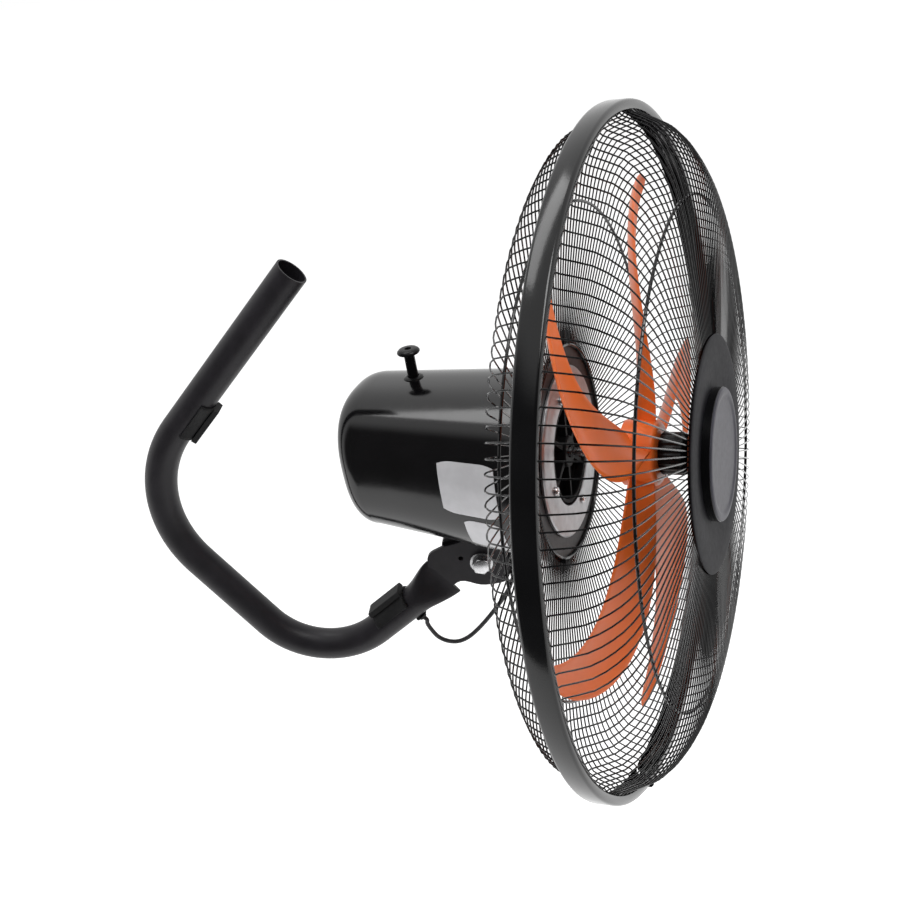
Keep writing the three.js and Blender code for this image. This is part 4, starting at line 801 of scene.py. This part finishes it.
def holed_plate(outline, hole, low_w, high_w):
    """A plate of the arm's plane with one hole; both are closed lists of (u, z)."""
    mesh = bmesh.new()
    edges = []
    for loop in (outline, hole):
        ring = [mesh.verts.new(in_arm(p[0], low_w, p[1])) for p in loop]
        edges += [mesh.edges.new((ring[i], ring[(i + 1) % len(ring)])) for i in range(len(ring))]
    filled = bmesh.ops.triangle_fill(mesh, edges=edges, use_beauty=True)
    faces = [f for f in filled["geom"] if isinstance(f, bmesh.types.BMFace)]
    grown = bmesh.ops.extrude_face_region(mesh, geom=faces)
    moved = [v for v in grown["geom"] if isinstance(v, bmesh.types.BMVert)]
    bmesh.ops.translate(mesh, verts=moved, vec=ACROSS * (high_w - low_w) * MM)
    mesh.verts.index_update()
    points = [v.co.copy() for v in mesh.verts]
    result = points, [[v.index for v in f.verts] for f in mesh.faces]
    mesh.free()
    return result


def disc_outline(u, z, radius, count):
    angles = [2 * math.pi * k / count for k in range(count)]
    return [(u + radius * math.cos(a), z + radius * math.sin(a)) for a in angles]


TILT_Z = -110                          # the tilt bolt
EAR_NEAR, EAR_FAR = ARM_OFFSET - EAR_THICK / 2, ARM_OFFSET + EAR_THICK / 2
ear_points = [(48, -101), (36, -92), (22, -88.6), (8, -86), (-12, -88), (-20, -93), (-24, -104), (-24, -120),
              (-20, -131), (-12, -134), (4, -134), (22, -128), (38, -137), (47, -131)]
ear = holed_plate(smooth_outline(ear_points), disc_outline(18, -104, 2.2, 16), EAR_NEAR, EAR_FAR)
piece("arm_pipe", [arm_skin, ear], "arm_paint", "arm", ("arm_tube",), 0.3, 40)


CLIP_HALF = 19                         # half its length
CLIP_REACH_DEG = 72                    # how far it goes round the tube, to each side
CLIP_FROM_BEND, CLIP_FROM_FLAT = 21, 23
# Its outside, as (along the tube, growth of its radius there), and its sole, as (out from the tube, across).
CLIP_OUTSIDE = ((-CLIP_HALF, -0.7), (-18.2, 0), (-16, 0), (-15, -0.6),
                (15, -0.6), (16, 0), (18.2, 0), (CLIP_HALF, -0.7))
CLIP_SOLE = ((15, -9), (19.4, -8.4), (20, -7.8), (20, 7.8), (19.4, 8.4), (15, 9))


def clip(name, centre, along, node):
    """A rubber clip: a saddle round one side of the tube, with a flat sole and a lip at each end."""
    side = Vector((-along.y, along.x))

    def place(a, n, w):
        spot = centre + along * a + side * n
        return in_arm(spot.x, ARM_OFFSET + w, spot.y)

    rings = []
    for a, grow in CLIP_OUTSIDE:
        outside, inside = TUBE_R + 2.6 + grow, TUBE_R + 0.25
        arc = [math.radians(-CLIP_REACH_DEG + 2 * CLIP_REACH_DEG * k / 24) for k in range(25)]
        ring = [place(a, outside * math.cos(t), outside * math.sin(t)) for t in arc]
        ring += [place(a, inside * math.cos(t), inside * math.sin(t)) for t in reversed(arc)]
        rings.append(ring)
    sole = [[place(a, n, w) for n, w in CLIP_SOLE] for a in (-CLIP_HALF, CLIP_HALF)]
    piece(name, [skin(rings), skin(sole)], "rubber", "arm", (node,), 0.5, 35)


upper_along = (ARM_END - ARM_UPPER_CORNER).normalized()
upper_angle = upper_along.angle((ARM_LOWER_CORNER - ARM_UPPER_CORNER).normalized())
upper_tangent = UPPER_BEND_R / math.tan(upper_angle / 2)
upper_place = ARM_UPPER_CORNER + upper_along * (upper_tangent + CLIP_FROM_BEND)
clip("upper_clip", upper_place, upper_along, "upper_arm_clip")
lower_along = (ARM_ROUND_TO - ARM_LOWER_CORNER).normalized()
clip("lower_clip", ARM_ROUND_TO - lower_along * CLIP_FROM_FLAT, -lower_along, "lower_arm_clip")

# ---------------------------------------------------------------- neck and tilt bolt
TONGUE_NEAR, TONGUE_FAR = -5.4, 6.6
TONGUE_LOW, TONGUE_TOP = -126, -80
neck_points = [(-21, -80), (21, -80), (33, -89), (31, -103), (21, -117), (8, -126), (-8, -126), (-31, -126),
               (-35, -122), (-34, -100)]
tongue_outline = smooth_outline(neck_points, 4)
tongue_outline = [Vector((p.x, max(TONGUE_LOW, min(TONGUE_TOP, p.y)))) for p in tongue_outline]
tongue = prism([in_arm(p.x, TONGUE_NEAR, p.y) for p in tongue_outline],
               ACROSS * (TONGUE_FAR - TONGUE_NEAR) * MM)
turret_profile = [(0, -74), (15, -74), (19.5, -74), (20.6, -74.4), (21, -75.4), (21, -80), (20.2, -81),
                  (0, -81)]
pivot_origin = Vector((PIVOT.x, PIVOT.y, RING.z))
turret = turned(turret_profile, pivot_origin, UP, 72)
piece("neck_casting", [tongue, turret], "satin_black", "neck", ("tilt_neck",), 0.8, 35, 3)
bolt_origin = in_arm(0, 0, TILT_Z)
GAP = 0.3                              # between ear, washer and bolt head
WASHER_THICK, BOLT_HEAD_DEPTH = 1.6, 6
ear_face = EAR_NEAR - GAP
head_back = ear_face - WASHER_THICK - GAP
head_front = head_back - BOLT_HEAD_DEPTH
washer_profile = [(5.2, ear_face), (10.3, ear_face), (10.5, ear_face - 0.4), (10.3, ear_face - 1.5),
                  (5.2, ear_face - WASHER_THICK)]
flange = turned(washer_profile, bolt_origin, ACROSS, 56)
piece("bolt_washer_plate", [flange], "steel", "arm", ("bolt_washer",))
bolt_head = bar(bolt_origin, ACROSS, head_front, head_back, 8.3, 6, 0.3)
crown_profile = [(0, head_front - 0.3), (6.2, head_front - 0.3), (7.2, head_front), (0, head_front + 0.5)]
bolt_crown = turned(crown_profile, bolt_origin, ACROSS, 40)
shank_profile = [(0, head_back), (4.9, head_back), (4.9, 20.0), (4.2, 20.7), (0, 20.7)]
bolt_shank = turned(shank_profile, bolt_origin, ACROSS, 28)
piece("tilt_bolt_hex", [bolt_head, bolt_crown, bolt_shank], "steel", "arm", ("tilt_bolt",), 0.35)
piece("tilt_nut_hex", [bar(bolt_origin, ACROSS, 6.95, 15.8, 9.3, 6, 0.5)], "steel", "arm", ("tilt_nut",), 0.5)

# ---------------------------------------------------------------- inner pieces keep their CAD shape
slots = {row["node"]: row["material_slot"] for row in frame["record"]["subparts"]}
replaced = {name for made in bpy.data.objects for name in made.get("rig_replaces", [])}
for name, node in frame["nodes"].items():
    if name not in replaced and node.material_slots:
        node.material_slots[0].link = "OBJECT"
        node.material_slots[0].material = FINISHES[slots[name]]


# ---------------------------------------------------------------- floor, light and backdrop
def white_rays(tree):
    """1 for rays that see the background itself: the camera's, mirrored and passing ones."""
    light_path = tree.nodes.new("ShaderNodeLightPath")
    seen = light_path.outputs["Is Camera Ray"]
    for kind in ("Is Glossy Ray", "Is Transmission Ray"):
        either = tree.nodes.new("ShaderNodeMath")
        either.operation = "MAXIMUM"
        tree.links.new(seen, either.inputs[0])
        tree.links.new(light_path.outputs[kind], either.inputs[1])
        seen = either.outputs["Value"]
    return seen


FLOOR_LIFT = 0.62                      # added to what the floor gives back, for the rays that see it
FLOOR_DROP = 0.6                       # metres from the lowest of the CAD down to the floor
SPAN, NEAR = 12, 1.3                   # metres from the origin to the floor's edges, NEAR towards the camera


def backdrop_material():
    """A pale floor that the camera sees as white, with the object's shadow still on it."""
    made, tree, shader = nodes_of("backdrop", (0.8, 0.8, 0.8), 0.95)
    shader.inputs["Specular IOR Level"].default_value = 0.0
    shader.inputs["Emission Color"].default_value = (1, 1, 1, 1)
    tree.links.new(ranged(tree, white_rays(tree), 0.0, FLOOR_LIFT), shader.inputs["Emission Strength"])
    add_bump(tree, shader, noise(tree, 25, 3), 0.2, 0.2)
    return made


floor_z = CAD_BOX[0][2] - FLOOR_DROP
floor_mesh = bpy.data.meshes.new("floor")
floor_edges = ((-NEAR, -SPAN), (SPAN, -SPAN), (SPAN, SPAN), (-NEAR, SPAN))
floor_corners = [(x, y, floor_z) for x, y in floor_edges]
floor_mesh.from_pydata(floor_corners, [], [(0, 1, 2, 3)])
floor = bpy.data.objects.new("floor", floor_mesh)
floor_mesh.materials.append(backdrop_material())
bpy.context.scene.collection.objects.link(floor)

world = bpy.data.worlds.new("studio")
bpy.context.scene.world = world
world.use_nodes = True
sky = world.node_tree
background = sky.nodes["Background"]
background.inputs["Color"].default_value = (1, 1, 1, 1)

# Mirrored rays towards the camera's side of the room meet a dark room instead of the white world. It ends
# where they turn away from that side, and where they go up steeply.
ROOM = Vector((-0.95, -0.31, 0))       # the way to the dark room
ROOM_SIDE = (0.05, 0.3)                # share of a ray that goes that way, from no darkness to all of it
ROOM_TOP = (0.62, 0.85)                # share of a ray that goes up, from all of the darkness to none
ROOM_DARKNESS = 0.92
FILL, SEEN = 0.5, 1.0                  # the world's strength as light, and for the rays that see it
direction = sky.nodes.new("ShaderNodeTexCoord").outputs["Generated"]
facing = sky.nodes.new("ShaderNodeVectorMath")
facing.operation = "DOT_PRODUCT"
facing.inputs[1].default_value = ROOM
sky.links.new(direction, facing.inputs[0])
steepness = sky.nodes.new("ShaderNodeSeparateXYZ")
sky.links.new(direction, steepness.inputs["Vector"])


def faded(value, low, high):
    """0 below low and 1 above high, with a smooth change between them."""
    fade = sky.nodes.new("ShaderNodeMapRange")
    fade.interpolation_type = "SMOOTHSTEP"
    fade.inputs["From Min"].default_value = low
    fade.inputs["From Max"].default_value = high
    sky.links.new(value, fade.inputs["Value"])
    return fade.outputs["Result"]


def combined(operation, first, second):
    """A math node on two sockets or numbers."""
    made = sky.nodes.new("ShaderNodeMath")
    made.operation = operation
    for socket, value in zip(made.inputs, (first, second)):
        if isinstance(value, float):
            socket.default_value = value
        else:
            sky.links.new(value, socket)
    return made.outputs["Value"]


low_enough = combined("SUBTRACT", 1.0, faded(steepness.outputs["Z"], *ROOM_TOP))
room = combined("MULTIPLY", faded(facing.outputs["Value"], *ROOM_SIDE), low_enough)
mirrored_rays = sky.nodes.new("ShaderNodeLightPath").outputs["Is Glossy Ray"]
dimmed = combined("MULTIPLY", combined("MULTIPLY", room, mirrored_rays), ROOM_DARKNESS)
level = combined("MULTIPLY", ranged(sky, white_rays(sky), FILL, SEEN), combined("SUBTRACT", 1.0, dimmed))
sky.links.new(level, background.inputs["Strength"])


def softbox(name, place, target, size, power, mirrored=True):
    """A rectangular lamp; mirrored says whether glossy surfaces show it."""
    light = bpy.data.lights.new(name, "AREA")
    light.shape = "RECTANGLE"
    light.size, light.size_y = size
    light.energy = power
    made = bpy.data.objects.new(name, light)
    made.location = place
    made.visible_glossy = mirrored
    made.rotation_euler = (target - place).to_track_quat("-Z", "Y").to_euler()
    bpy.context.scene.collection.objects.link(made)


middle = (Vector(CAD_BOX[0]) + Vector(CAD_BOX[1])) / 2
softbox("key", middle + Vector((-0.5, -1.4, 2.1)), middle, (0.7, 1.5), 26)
softbox("side", middle + Vector((-2.0, 1.3, 0.5)), middle, (0.5, 1.6), 18, mirrored=False)
softbox("top", middle + Vector((0.3, 0.6, 2.2)), middle, (1.6, 0.6), 14)

bpy.context.scene.view_settings.view_transform = "Standard"
